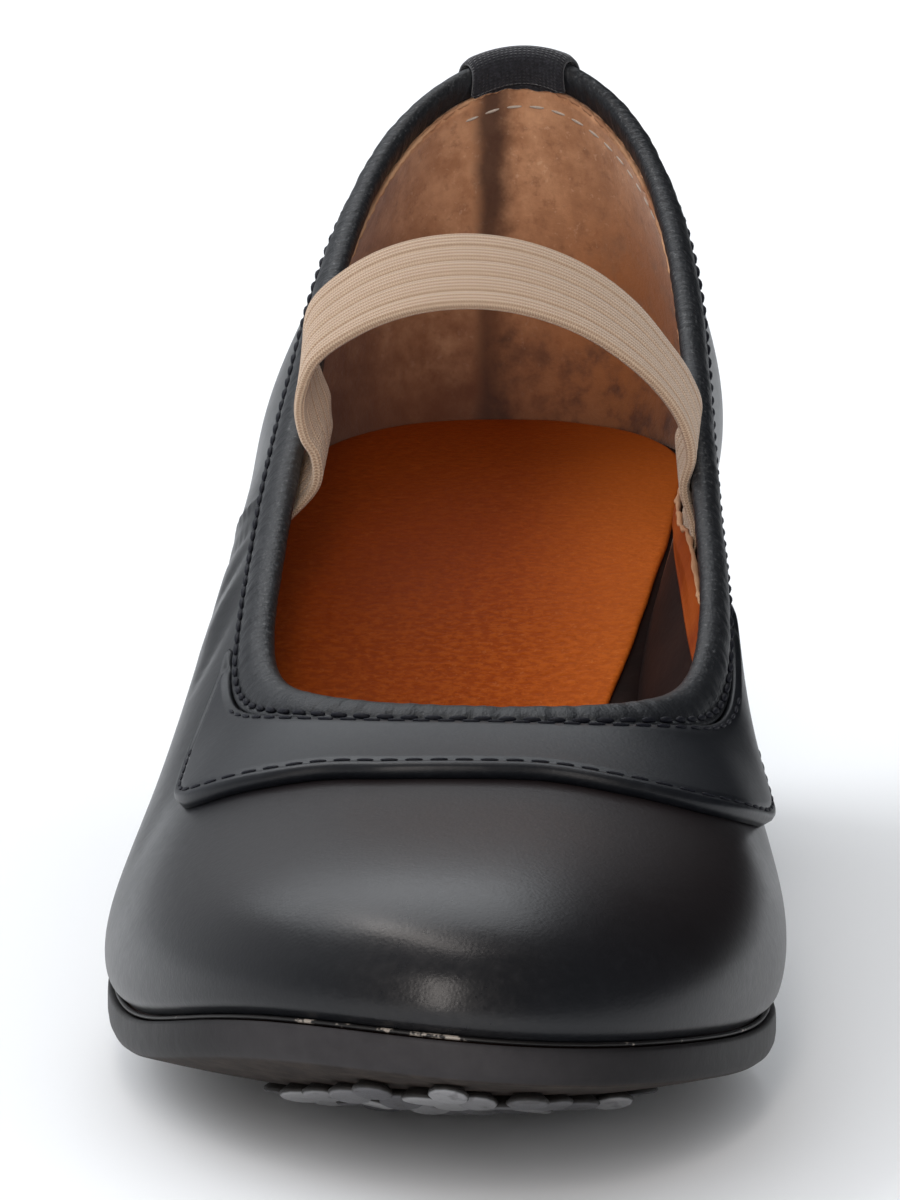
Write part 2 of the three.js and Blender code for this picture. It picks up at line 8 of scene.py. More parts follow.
import bpy
import numpy as np
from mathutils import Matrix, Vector


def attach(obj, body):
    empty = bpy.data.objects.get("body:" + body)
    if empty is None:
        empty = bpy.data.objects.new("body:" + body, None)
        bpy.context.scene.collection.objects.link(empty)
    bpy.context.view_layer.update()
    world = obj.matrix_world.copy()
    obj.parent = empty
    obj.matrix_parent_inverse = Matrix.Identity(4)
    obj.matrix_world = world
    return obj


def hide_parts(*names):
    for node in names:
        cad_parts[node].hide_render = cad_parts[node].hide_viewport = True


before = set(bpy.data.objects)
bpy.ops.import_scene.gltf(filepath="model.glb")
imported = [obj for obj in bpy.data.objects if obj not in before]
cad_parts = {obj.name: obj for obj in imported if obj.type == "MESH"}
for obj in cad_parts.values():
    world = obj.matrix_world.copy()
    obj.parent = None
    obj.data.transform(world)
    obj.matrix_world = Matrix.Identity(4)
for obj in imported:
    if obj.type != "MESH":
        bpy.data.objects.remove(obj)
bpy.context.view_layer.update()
MM = 0.001
print("CAD nodes:", ", ".join(sorted(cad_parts)))

# %% [markdown]
# ## The last
# A shoe takes its form from a last, a wooden foot. Here the last is a small table: eighteen ribs
# that run up the wall, from the toe round the outer side, the back and the inner side. A subdivision
# surface could be pulled over a coarse cage instead, but the cage would have to be fitted to the
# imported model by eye. The same ribs and the same smooth curves as in the CAD source give every
# seam, lining and stitch its place by two numbers: the rib, and the way down from the topline.

# %% The sizes that the pieces share
SOLE_LENGTH = 236
BALL_WIDTH = 79
HEEL_RISE = 41
TOE_SPRING = 14.5
BALL_CAMBER = 4.5
TOE_CAMBER = 8.5
TOE_ROLL = 14
COLLAR_HEIGHT = 51
SOLE_THICKNESS = 4.3
SOLE_MARGIN = 0.5
INSOLE_THICKNESS = 2
WALL = 1.6
OVERLAY_THICKNESS = 1.6
BINDING_OUTER_LEG = 5
NAIL_HEIGHT = 1.3
CLEARANCE = 0.3
LOOP = 18
BACK_RIB = 9

SOLE_PROFILE = [
    [1.00, 0.000], [0.55, 0.000], [0.20, 0.000], [0.03, 0.000], [0.00, 0.005], [0.00, 0.100],
    [0.00, 0.290], [0.00, 0.520], [0.00, 0.740], [0.00, 0.880], [0.00, 0.960], [0.00, 0.990],
    [0.00, 1.000],
]
# Columns: foot across, foot along, flare, low reach, top across, top along, top high, lean, high reach
RIBS = [
    [0.060, 0.009, 10, 0.26, 0.055, 0.345, 0.66, 76, 0.36],
    [-0.205, 0.048, 10, 0.26, -0.090, 0.350, 0.66, 72, 0.35],
    [-0.400, 0.150, 20, 0.22, -0.215, 0.375, 0.64, 60, 0.33],
    [-0.492, 0.300, 25, 0.21, -0.290, 0.440, 0.57, 38, 0.29],
    [-0.465, 0.440, 18, 0.25, -0.300, 0.520, 0.53, 32, 0.30],
    [-0.390, 0.590, 26, 0.36, -0.290, 0.620, 0.46, 34, 0.38],
    [-0.345, 0.730, 30, 0.36, -0.265, 0.740, 0.48, 32, 0.38],
    [-0.325, 0.860, 24, 0.36, -0.225, 0.860, 0.64, 26, 0.36],
    [-0.180, 0.961, 16, 0.34, -0.130, 0.950, 0.86, 18, 0.36],
    [0.045, 0.987, 14, 0.34, 0.048, 0.978, 0.98, 14, 0.36],
    [0.260, 0.958, 14, 0.34, 0.215, 0.950, 0.88, 16, 0.36],
    [0.375, 0.860, 18, 0.36, 0.310, 0.860, 0.66, 20, 0.36],
    [0.335, 0.730, 13, 0.36, 0.350, 0.740, 0.48, 18, 0.34],
    [0.285, 0.575, 18, 0.34, 0.372, 0.620, 0.46, 18, 0.34],
    [0.360, 0.420, 16, 0.28, 0.388, 0.520, 0.53, 18, 0.30],
    [0.480, 0.275, 26, 0.22, 0.372, 0.435, 0.57, 28, 0.27],
    [0.425, 0.125, 20, 0.22, 0.300, 0.370, 0.64, 56, 0.33],
    [0.275, 0.036, 10, 0.26, 0.190, 0.347, 0.66, 72, 0.35],
]


def smooth_table(rows, closed):
    """All columns of a table as smooth functions of the row number."""
    values = np.array(rows, float)
    count = len(values)
    weights = np.eye(count) * 4
    climb = np.zeros_like(values)
    for i in range(count):
        if not closed and i in (0, count - 1):
            near = 1 if i == 0 else count - 2
            weights[i, i] = 2
            weights[i, near] = 1
            climb[i] = 3 * (values[max(i, near)] - values[min(i, near)])
        else:
            weights[i, [i - 1, (i + 1) % count]] += 1
            climb[i] = 3 * (values[(i + 1) % count] - values[i - 1])
    slopes = np.linalg.solve(weights, climb)

    def look_up(position):
        position = np.asarray(position, float)
        at = position % count if closed else np.clip(position, 0, count - 1)
        start = np.floor(at).astype(int)
        start = start % count if closed else np.minimum(start, count - 2)
        end = (start + 1) % count
        u = (at - start)[..., None]
        rising = values[end] * u * u * (3 - 2 * u) + slopes[end] * u * u * (u - 1)
        return values[start] * (1 + 2 * u) * (1 - u) ** 2 + slopes[start] * u * (1 - u) ** 2 + rising

    return look_up


sole_profile = smooth_table(SOLE_PROFILE, False)
rib_at = smooth_table(RIBS, True)


def smooth_step(value, low, high):
    """0 below low, 1 above high, with a soft change between."""
    u = np.clip((value - low) / (high - low), 0, 1)
    return u * u * (3 - 2 * u)


def moving_mean(values, count):
    """Each value as the mean of count values round it."""
    return np.convolve(np.pad(values, count // 2, mode="edge"), np.ones(count) / count, "valid")


def underside_height(x, y):
    """Height of the sole's underside over the floor."""
    along = np.clip(y / SOLE_LENGTH + 0.5, 0, 1)
    row = sole_profile(along * (len(SOLE_PROFILE) - 1))
    toe, heel = row[..., 0], row[..., 1]
    fade = 1 - smooth_step(along, 0.4, 0.75)
    from_middle = (x - TOE_ROLL * toe) / (BALL_WIDTH / 2)
    camber = (BALL_CAMBER + (TOE_CAMBER - BALL_CAMBER) * toe) * from_middle**2 * fade
    return NAIL_HEIGHT + toe * TOE_SPRING + heel * HEEL_RISE + camber


def sole_top(x, y):
    return underside_height(x, y) + SOLE_THICKNESS


def lengthwise(share):
    return (share - 0.5) * SOLE_LENGTH


def foot_point(rib):
    """The line where the upper's outer face meets the sole."""
    row = rib_at(rib)
    x, y = row[..., 0] * BALL_WIDTH, lengthwise(row[..., 1])
    return np.stack([x, y, sole_top(x, y) + CLEARANCE], -1)


def top_point(rib):
    """The upper's top edge."""
    row = rib_at(rib)
    x, y = row[..., 4] * BALL_WIDTH, lengthwise(row[..., 5])
    return np.stack([x, y, sole_top(0 * x, y) + row[..., 6] * COLLAR_HEIGHT], -1)


def unit(vectors):
    return vectors / np.linalg.norm(vectors, axis=-1, keepdims=True)


def outward(loop, rib):
    """The level direction that points out of a loop seen from above."""
    travel = loop(rib + 0.01) - loop(rib - 0.01)
    return unit(np.stack([-travel[..., 1], travel[..., 0], 0 * travel[..., 0]], -1))


def leaning(out, degrees):
    angle = np.radians(degrees)[..., None]
    return out * np.sin(angle) + np.array([0, 0, 1.0]) * np.cos(angle)


def wall_point(rib, rise):
    """A point of the upper's outer face, rise 0 at the sole and 1 at the topline."""
    rib, rise = np.broadcast_arrays(np.asarray(rib, float), np.asarray(rise, float))
    row = rib_at(rib)
    foot, top = foot_point(rib), top_point(rib)
    span = np.linalg.norm(top - foot, axis=-1)[..., None]
    low = foot + leaning(outward(foot_point, rib), row[..., 2]) * span * row[..., 3:4]
    high = top - leaning(-outward(top_point, rib), row[..., 7]) * span * row[..., 8:9]
    u = rise[..., None]
    v = 1 - u
    return foot * v**3 + low * 3 * u * v**2 + high * 3 * u**2 * v + top * u**3


def length_along(points):
    """The way run along each line of points, 0 at its first."""
    steps = np.linalg.norm(np.diff(points, axis=-2), axis=-1)
    return np.concatenate([np.zeros_like(steps[..., :1]), np.cumsum(steps, -1)], -1)


def wall_up(rib, rise):
    return unit(wall_point(rib, rise + 0.01) - wall_point(rib, rise - 0.01))


def wall_normal(rib, rise):
    travel = wall_point(rib + 0.01, rise) - wall_point(rib - 0.01, rise)
    return unit(np.cross(wall_up(rib, rise), travel))


def rise_at_drop(rib, drop):
    """The rise that lies a given way down the wall from the topline."""
    rises = np.linspace(1, 0, 97)
    walked = length_along(wall_point(rib[:, None], rises))
    return np.stack([np.interp(d, w, rises) for d, w in zip(drop, walked)])


def wall_at(rib, drop, stand):
    """Points by rib, way down from the topline, and how far they stand off the outer face."""
    rib = np.asarray(rib, float)
    drop, stand, _ = np.broadcast_arrays(drop, stand, np.zeros((len(rib), 1)))
    rise = rise_at_drop(rib, np.maximum(drop, 0))
    across = rib[:, None] + 0 * rise
    points = wall_point(across, rise) + wall_normal(across, rise) * stand[..., None]
    return points - wall_up(across, 1 + 0 * rise) * np.minimum(drop, 0)[..., None]


print("topline height at the back:", round(float(top_point(BACK_RIB)[2]), 1), "mm")

# %% [markdown]
# ## From points to pieces
# Most pieces are sheets of leather: a grid of points with a section that is swept along the shoe.
# bmesh could add the faces one by one. Grids of points in NumPy are quicker and give the UV map for
# free, in millimetres along and across the strip, so that weaves and wrinkles follow the piece.


# %% Mesh helpers
def in_scene(name, data):
    """A new object of some data, linked to the scene."""
    made = bpy.data.objects.new(name, data)
    bpy.context.scene.collection.objects.link(made)
    return made


def finished(made):
    """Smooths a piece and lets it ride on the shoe."""
    made.data.shade_smooth()
    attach(made, "root")
    made.data.calc_loop_triangles()
    print(made.name, "-", len(made.data.loop_triangles), "triangles")
    return made


def add_piece(name, points, faces, material, uv=None):
    """A mesh piece that rides on the shoe. points are millimetres, uv is one pair for each face corner."""
    mesh = bpy.data.meshes.new(name)
    mesh.from_pydata((np.asarray(points).reshape(-1, 3) * MM).tolist(), [], faces)
    if uv is not None:
        mesh.uv_layers.new(name="strip").data.foreach_set("uv", np.asarray(uv, np.float32).ravel())
    mesh.materials.append(material)
    return finished(in_scene(name, mesh))


def sweep(name, sections, material, ring=False):
    """Sections of equal point count joined one to the next, closed into a ring or ended flat."""
    sections = np.asarray(sections)
    count, size = sections.shape[:2]
    loops = (sections.mean(1), sections[count // 2])
    run, across = (length_along(np.append(loop, loop[:1], axis=0)) for loop in loops)
    faces, uv = [], []
    for i in range(count if ring else count - 1):
        for j in range(size):
            here, there = i * size, (i + 1) % count * size
            following = (j + 1) % size
            faces.append([here + j, there + j, there + following, here + following])
            uv += [(run[i], across[j]), (run[i + 1], across[j]),
                   (run[i + 1], across[j + 1]), (run[i], across[j + 1])]
    if not ring:
        for start, turned in ((0, False), ((count - 1) * size, True)):
            for i in range(size // 2 - 1):
                rung = [start + i, start + i + 1, start + size - i - 2, start + size - i - 1]
                faces.append(rung[::-1] if turned else rung)
                uv += [(0.0, 0.0)] * 4
    if signed_volume(sections.reshape(-1, 3), faces) < 0:
        faces = [face[::-1] for face in faces]
        uv = [pair for k in range(0, len(uv), 4) for pair in uv[k:k + 4][::-1]]
    return add_piece(name, sections, faces, material, uv)


def signed_volume(points, faces):
    """Positive where the faces point outward."""
    corners = points[np.array(faces)]
    a, b, c, d = (corners[:, k] - points.mean(0) for k in range(4))
    return (a * (np.cross(b, c) + np.cross(c, d))).sum()


def plain(made):
    """Turns the result of a piece's modifiers into a plain mesh."""
    graph = bpy.context.evaluated_depsgraph_get()
    mesh = bpy.data.meshes.new_from_object(made.evaluated_get(graph), depsgraph=graph)
    made.modifiers.clear()
    made.data = mesh
    return made

# %% [markdown]
# ## The camera
# The photograph looks along the shoe from in front, eleven degrees down and from a little to the
# inner side. The camera keeps that place, so that every edge overlaps every other as it does in the
# picture, and a longer lens brings the one shoe up to the size of the frame.

# %% Camera
PHOTO_HEIGHT = 1200
LONG_SIDE_SENSOR = 36
FOCAL_PIXELS = 9100
CAMERA_PLACE = Vector((40.3, -1079.8, 257.9))
CAMERA_TARGET = Vector((-1.0, -4.0, 47.0))
NEAR_CLIP = 0.05

camera = in_scene("camera", bpy.data.cameras.new("camera"))
bpy.context.scene.camera = camera
camera.location = CAMERA_PLACE * MM
camera.rotation_euler = (CAMERA_TARGET - CAMERA_PLACE).to_track_quat("-Z", "Y").to_euler()
camera.data.sensor_width = LONG_SIDE_SENSOR
camera.data.lens = FOCAL_PIXELS / PHOTO_HEIGHT * LONG_SIDE_SENSOR
camera.data.clip_start = NEAR_CLIP
print("lens:", round(camera.data.lens), "mm")

# %% [markdown]
# ## The light and the floor
# Large soft area lights stand in for a studio's lamps, and a pale floor runs far past the edge of the
# view. Dressed leather mirrors its surroundings, so rays of reflection see a sky that is dark to the
# right and in front, while all other light comes from an even one. In the same way two of the lamps
# give diffuse light alone, and two narrow strips only the warm gleam down the toe. One picture of a
# studio as the sky would do the same, but this way each lamp can be moved by itself.

# %% Light and floor
EVEN_SKY = 0.76
COOL = (0.93, 0.96, 1)
WARM = (1, 0.93, 0.88)

bpy.context.scene.view_settings.view_transform = "Standard"
world = bpy.data.worlds.new("studio")
bpy.context.scene.world = world
world.use_nodes = True
sky = world.node_tree.nodes["Background"]
sky.inputs["Color"].default_value = (*COOL, 1)


def world_node(kind, *values):
    """Adds a node to the studio's surroundings and gives its sockets values or links, in order."""
    made = world.node_tree.nodes.new("ShaderNode" + kind)
    for socket, value in zip(made.inputs, values):
        if isinstance(value, bpy.types.NodeSocket):
            world.node_tree.links.new(value, socket)
        else:
            socket.default_value = value
    return made.outputs


def world_math(operation, *values):
    made = world_node("Math", *values)
    made[0].node.operation = operation
    return made[0]


# MapRange takes a value, the two ends of its range and the brightness at each end
direction = world_node("SeparateXYZ", world_node("TexCoord")["Generated"])
from_left = world_node("MapRange", direction["X"], -1.0, 0.30, 0.78, 0.0)[0]
from_front = world_node("MapRange", direction["Y"], -0.80, 0.05, 0.07, 1.0)[0]
mirrored = world_math("MULTIPLY", from_left, from_front)
glossy = world_node("LightPath")["Is Glossy Ray"]
strength = world_math("MULTIPLY_ADD", glossy, world_math("SUBTRACT", mirrored, EVEN_SKY), EVEN_SKY)
world.node_tree.links.new(strength, sky.inputs["Strength"])


def soft_light(name, place, aim, width, height, watts, colour, gleams=True, lights=True):
    """A rectangular softbox at a place, turned to an aim, in metres."""
    light = bpy.data.lights.new(name, "AREA")
    light.shape = "RECTANGLE"
    light.size, light.size_y = width, height
    light.energy = watts
    light.color = colour
    made = in_scene(name, light)
    made.location = place
    made.rotation_euler = (Vector(aim) - Vector(place)).to_track_quat("-Z", "Y").to_euler()
    made.visible_glossy = gleams
    made.visible_diffuse = lights


gleam_aim = (-0.005, -0.1, 0.05)
soft_light("overhead", (-0.45, 1.42, 1.5), (-0.36, 1.00, 0), 1.6, 1.5, 14, (0.92, 0.96, 1))
soft_light("from_the_left", (-1.35, 0.45, 1.0), (0, 0, 0.04), 1.2, 1.2, 17.5, COOL, gleams=False)
soft_light("fill_in_front", (-0.045, -1.05, 0.56), (-0.005, -0.1, 0.06), 0.16, 1.05, 4.2,
           (1, 0.92, 0.86), gleams=False)
soft_light("low_strip", (-0.33, -1.02, 0.50), gleam_aim, 0.15, 0.95, 5, WARM, lights=False)
soft_light("high_strip", (-0.21, 0.22, 1.08), gleam_aim, 0.15, 0.70, 2, WARM, lights=False)

floor_mesh = bpy.data.meshes.new("floor")
floor_mesh.from_pydata([(-6, -6, 0), (6, -6, 0), (6, 6, 0), (-6, 6, 0)], [], [(0, 1, 2, 3)])
floor = in_scene("floor", floor_mesh)

# %% [markdown]
# ## Finishes written as sums
# A shader tree drawn by hand is slow to read back. Here a small class wraps one output of a node, and
# ordinary sums on it add the Math nodes, so that a finish reads like the recipe for it. Every other
# node comes from one method that takes its settings first and its sockets after.


# %% Wires and finishes
class Wire:
    """One output in a node tree. Sums of wires and numbers add their own Math nodes."""

    def __init__(self, finish, socket):
        self.finish = finish
        self.socket = socket

    def math(self, operation, *values):
        return self.finish.node("Math", {"operation": operation}, list(values))

    def __add__(self, other):
        return self.math("ADD", self, other)

    def __sub__(self, other):
        return self.math("SUBTRACT", self, other)

    def __rsub__(self, other):
        return self.math("SUBTRACT", other, self)

    def __mul__(self, other):
        return self.math("MULTIPLY", self, other)

    __radd__ = __add__
    __rmul__ = __mul__

    def wave(self):
        return self.math("SINE", self) * 0.5 + 0.5

    def step(self, low, high):
        """0 below low, 1 above high, with a soft change between."""
        values = {"Value": self, "From Min": low, "From Max": high}
        return self.finish.node("MapRange", {"interpolation_type": "SMOOTHSTEP"}, values)

    def band(self, rise_from, rise_to, fall_from, fall_to):
        """1 on a band between two soft edges, 0 outside."""
        return self.step(rise_from, rise_to) - self.step(fall_from, fall_to)


class Finish:
    """A material under construction."""

    def __init__(self, name):
        self.material = bpy.data.materials.new(name)
        self.material.use_nodes = True
        self.tree = self.material.node_tree
        self.tree.nodes.clear()

    def node(self, kind, settings=None, inputs=None, output=0):
        made = self.tree.nodes.new("ShaderNode" + kind)
        for key, value in (settings or {}).items():
            setattr(made, key, value)
        for key, value in inputs.items() if isinstance(inputs, dict) else enumerate(inputs or []):
            if isinstance(value, Wire):
                self.tree.links.new(value.socket, made.inputs[key])
            else:
                made.inputs[key].default_value = value
        return Wire(self, made.outputs[output]) if made.outputs else made

    def place(self):
        """Object coordinates, in metres, the same for every piece."""
        return self.node("TexCoord", output="Object")

    def strip(self):
        """Along and across the piece, in millimetres."""
        return self.node("UVMap", {"uv_map": "strip"})

    def stretched(self, vector, scale):
        return self.node("Mapping", inputs={"Vector": vector, "Scale": scale})

    def parts(self, vector):
        """The numbers of a vector, one wire each."""
        split = self.node("SeparateXYZ", inputs=[vector])
        return [Wire(self, output) for output in split.socket.node.outputs]

    def noise(self, vector, scale, detail=2.0, roughness=0.5):
        values = {"Vector": vector, "Scale": scale, "Detail": detail, "Roughness": roughness}
        return self.node("TexNoise", inputs=values)

    def cells(self, vector, scale):
        """Small rounded cells, as in the grain of leather."""
        return self.node("TexVoronoi", {"feature": "SMOOTH_F1"}, {"Vector": vector, "Scale": scale})

    def spot(self, centre, radius, soft):
        """1 within a radius of a place given in millimetres, 0 outside, in metres on the piece."""
        far = self.node("VectorMath", {"operation": "DISTANCE"}, [self.place(), Vector(centre) * MM], "Value")
        return 1 - far.step((radius - soft) * MM, (radius + soft) * MM)

    def attribute(self, name):
        return self.node("Attribute", {"attribute_name": name}, output="Fac")

    def blend(self, share, first, second):
        """One colour over another."""
        first, second = (c if isinstance(c, Wire) else (*c, 1) for c in (first, second))
        return self.node("Mix", {"data_type": "RGBA"}, {0: share, 6: first, 7: second}, 2)

    def layers(self, shade, *layers):
        """A colour with others over it, each with its own share."""
        for share, colour in layers:
            shade = self.blend(share, shade, colour)
        return shade

    def surface(self, relief=None, **sockets):
        """The finished material. The relief is in millimetres."""
        if relief:
            sockets["normal"] = self.node("Bump", inputs={"Height": relief, "Distance": MM})
        values = {name.replace("_", " ").title().replace("Ior", "IOR"): v for name, v in sockets.items()}
        shader = self.node("BsdfPrincipled", inputs=values)
        self.node("OutputMaterial", inputs={"Surface": shader})
        return self.material


def pale_floor():
    finish = Finish("pale_floor")
    faint = finish.noise(finish.place(), 3.0)
    shade = finish.blend(faint, (0.86, 0.86, 0.86), (0.88, 0.88, 0.88))
    return finish.surface(base_color=shade, roughness=0.8)


floor_mesh.materials.append(pale_floor())
print("floor: one pale sheet,", round(floor.dimensions.x), "m wide")

# %% [markdown]
# ## Black leather
# Calf leather looks smooth from a step away. Close to, it has pebbles of a third of a millimetre,
# broad soft unevenness from the hide, and a thin dressing that gives it a satin gloss. The relief is
# a bump, because pebbles this small would need millions of faces. Wear has rubbed a band down the
# upper's toe smoother, a paler painted highlight streak lies on that band, and a warm tint lies on
# its vamp: all come with warm, which is 0 for the other leathers.


# %% Black leathers
SATIN = 0.32
# Relief in millimetres
PEBBLES = 0.014
HIDE = 0.03


def black_leather(name, colour, worn, roughness, warm=0.0):
    """Dressed leather: a dark colour, a greyer one where it is worn, fine pebbles over a soft hide."""
    finish = Finish(name)
    place = finish.place()
    pebble = finish.cells(place, 2600)
    fine = finish.noise(place, 900, 4)
    broad = finish.noise(place, 34, 3)
    shade = finish.blend(fine.step(0.45, 0.8) * 0.35 + broad.step(0.4, 0.75) * 0.45, colour, worn)
    roughness = roughness + 0.10 * fine + 0.10 * broad
    if warm:
        x, y, _ = finish.parts(place)
        # painted highlight: a paler streak down the middle of the toe, on a band that is also rubbed smoother
        rubbed_and_painted_streak = x.band(-0.013, -0.002, 0.006, 0.017) * (1 - y.step(-0.106, -0.084))
        shade = finish.layers(shade, (warm * finish.spot((8, -70, 42), 34, 20), (0.022, 0.014, 0.013)),
                              (warm * 0.40 * rubbed_and_painted_streak * fine, (0.060, 0.052, 0.048)))
        roughness = roughness - 0.12 * warm * rubbed_and_painted_streak
    return finish.surface(pebble * PEBBLES + fine * PEBBLES + broad * HIDE, base_color=shade,
                          roughness=roughness, specular_ior_level=SATIN)


upper_leather = black_leather("upper_leather", (0.0052, 0.0060, 0.0076), (0.0105, 0.0117, 0.0142), 0.25,
                              warm=0.55)
overlay_leather = black_leather("overlay_leather", (0.0065, 0.0075, 0.0100), (0.015, 0.0165, 0.0205), 0.30)
heel_leather = black_leather("heel_leather", (0.009, 0.009, 0.011), (0.016, 0.017, 0.020), 0.33)


def soft_leather():
    """Softer leather, wrinkled across the strip, paler in patches along the crest of the roll."""
    finish = Finish("binding_leather")
    strip = finish.strip()
    _, across, _ = finish.parts(strip)
    wrinkles = finish.noise(finish.stretched(strip, (1.1, 0.45, 1)), 1.0, 3)
    fine = finish.noise(strip, 3.2, 4)
    pale_crest_patches = across.band(4.6, 6.2, 8.4, 10.2) * finish.noise(strip, 1.7, 5, 0.65).step(0.54, 0.70)
    shade = finish.blend(fine.step(0.4, 0.8), (0.008, 0.009, 0.011), (0.020, 0.022, 0.026))
    shade = finish.blend(pale_crest_patches * 0.5, shade, (0.16, 0.16, 0.16))
    return finish.surface(wrinkles * 0.22 + fine * 0.06, base_color=shade,
                          roughness=0.40 + 0.16 * fine, specular_ior_level=SATIN)


binding_leather = soft_leather()
print("black leathers:", upper_leather.name, overlay_leather.name, heel_leather.name, binding_leather.name)

# %% [markdown]
# ## Lining leathers
# Inside, the shoe shows what it is made of: a suede heel lining, smooth orange lining leather with a
# pale raw edge, a dark vamp lining and an embossed insole. Their colours are far apart, so each is
# its own finish, a base colour with spots, painted shade and painted light laid over it.


# %% Lining leathers
def suede_lining():
    """Tan suede: brushed nap, painted shade low down by the insole and on the outer side, a glue stain and a
    shadowed crease.
    """
    finish = Finish("suede_lining")
    place = finish.place()
    x, _, z = finish.parts(place)
    nap = finish.noise(place, 1500, 5, 0.7)
    mottle = finish.noise(place, 240, 5, 0.6)
    # low: painted shade, darker low down by the insole
    low = 1 - (z + mottle * 0.012).step(0.052, 0.083)
    speckle = finish.noise(place, 620, 4, 0.65)
    flecks = finish.noise(place, 1100, 3, 0.6)
    crease = (x + mottle * 0.003).band(-0.0015, 0.0010, 0.0018, 0.0055)
    stain = finish.spot((15, 103, 62), 15, 10) * mottle.step(0.3, 0.6) * 0.85
    shade = finish.layers(
        finish.blend(mottle.step(0.3, 0.75), (0.42, 0.188, 0.084), (0.66, 0.345, 0.180)),
        (speckle.step(0.5, 0.75) * 0.50, (0.22, 0.082, 0.034)),
        (flecks.step(0.60, 0.72) * 0.40, (0.80, 0.50, 0.32)),
        (low * 0.93, (0.085, 0.018, 0.004)),
        # painted shade: darker on the outer side
        ((1 - x.step(-0.020, 0.002)) * 0.42, (0.16, 0.060, 0.026)),
        (crease * 0.88, (0.050, 0.016, 0.007)),
        (stain, (0.42, 0.130, 0.022)),
    )
    return finish.surface(nap * 0.10 + mottle * 0.25, base_color=shade, roughness=0.86 - stain * 0.25,
                          sheen_weight=0.25, sheen_roughness=0.5)


def insole_leather():
    """Orange-brown leather, embossed with short wavy streaks across the foot, with painted shade towards the
    rear and the outer side and painted light on the inner side.
    """
    finish = Finish("insole_leather")
    place = finish.place()
    streaks = finish.noise(finish.stretched(place, (820, 1500, 600)), 1.0, 3, 0.6)
    pores = finish.cells(place, 1400)
    broad = finish.noise(place, 28, 3)
    pits = finish.noise(place, 1250, 3, 0.7)
    x, y, _ = finish.parts(place)
    shade = finish.layers(
        finish.blend(streaks.step(0.38, 0.66), (0.34, 0.058, 0.003), (0.51, 0.108, 0.009)),
        (broad.step(0.3, 0.8) * 0.3, (0.38, 0.052, 0.003)),
        (pits.step(0.56, 0.70) * 0.45, (0.16, 0.022, 0.002)),
        ((1 - pits.step(0.30, 0.40)) * 0.30, (0.72, 0.26, 0.07)),
        # painted shade: darker towards the rear and the outer side
        ((y - x * 1.1).step(-0.015, 0.065) * 0.75, (0.135, 0.016, 0.001)),
        # painted light: paler on the inner side
        (x.step(0.002, 0.026) * 0.40, (0.66, 0.165, 0.024)),
    )
    return finish.surface(streaks * 0.20 + pores * 0.06, base_color=shade,
                          roughness=0.52 + 0.1 * streaks, specular_ior_level=0.03)


def plain_lining(name, colour, second, roughness):
    """Lining leather, smooth side out."""
    finish = Finish(name)
    place = finish.place()
    fine = finish.noise(place, 700, 4)
    broad = finish.noise(place, 90, 4)
    shade = finish.blend(broad.step(0.35, 0.7), colour, second)
    return finish.surface(fine * 0.08 + broad * 0.15, base_color=shade,
                          roughness=roughness + 0.1 * fine, specular_ior_level=0.2)


suede = suede_lining()
insole_skin = insole_leather()
orange_lining = plain_lining("orange_lining", (0.34, 0.068, 0.008), (0.22, 0.034, 0.005), 0.5)
vamp_lining_skin = plain_lining("dark_lining", (0.022, 0.0080, 0.0055), (0.012, 0.0045, 0.0035), 0.62)
raw_edge = plain_lining("raw_edge", (0.50, 0.28, 0.155), (0.32, 0.145, 0.075), 0.8)
print("linings:", ", ".join(m.name for m in (suede, insole_skin, orange_lining, vamp_lining_skin, raw_edge)))

# %% [markdown]
# ## Cloth and thread
# The strap is a ribbed elastic and the back tab a woven tape. Cloth gets its weave from the strip
# coordinates of its piece, at real thread size, so that the ribs run along the band wherever it
# bends. An image of a weave would need to be tiled and would blur close to.


# %% Cloth and thread
def elastic_cloth():
    """Ribbed woven elastic: warp ribs run along the strap, the weft crosses them."""
    finish = Finish("elastic_cloth")
    along, across, _ = finish.parts(finish.strip())
    wander = finish.noise(finish.strip(), 0.5, 2)
    ribs = (across * (2 * np.pi / 0.62)).wave()
    picks = (along * (2 * np.pi / 0.34) + ribs * 3.1).wave()
    fuzz = finish.noise(finish.place(), 2600, 4, 0.7)
    weave = ribs * 0.5 + picks * 0.5
    shade = finish.blend(weave.step(0.1, 0.9), (0.31, 0.192, 0.115), (0.55, 0.395, 0.275))
    shade = finish.blend(wander.step(0.3, 0.8) * 0.25, shade, (0.43, 0.30, 0.205))
    return finish.surface(ribs * 0.07 + picks * 0.06 + fuzz * 0.10, base_color=shade, roughness=0.80,
                          sheen_weight=0.2, sheen_roughness=0.5)


def black_tape():
    """Matte black woven tape."""
    finish = Finish("black_tape")
    along, across, _ = finish.parts(finish.strip())
    weave = (along * (2 * np.pi / 0.7)).wave() * (across * (2 * np.pi / 0.45)).wave()
    fuzz = finish.noise(finish.place(), 1800, 5, 0.7)
    shade = finish.blend(fuzz.step(0.4, 0.75), (0.006, 0.006, 0.009), (0.022, 0.021, 0.028))
    return finish.surface(weave * 0.12 + fuzz * 0.25, base_color=shade, roughness=0.9,
                          sheen_weight=0.3, sheen_roughness=0.4)


def thread(name, dark, light, roughness):
    """Twisted sewing thread."""
    finish = Finish(name)
    twist = finish.noise(finish.place(), 4200, 2)
    return finish.surface(twist * 0.06, base_color=finish.blend(twist, dark, light),
                          roughness=roughness, specular_ior_level=0.25)


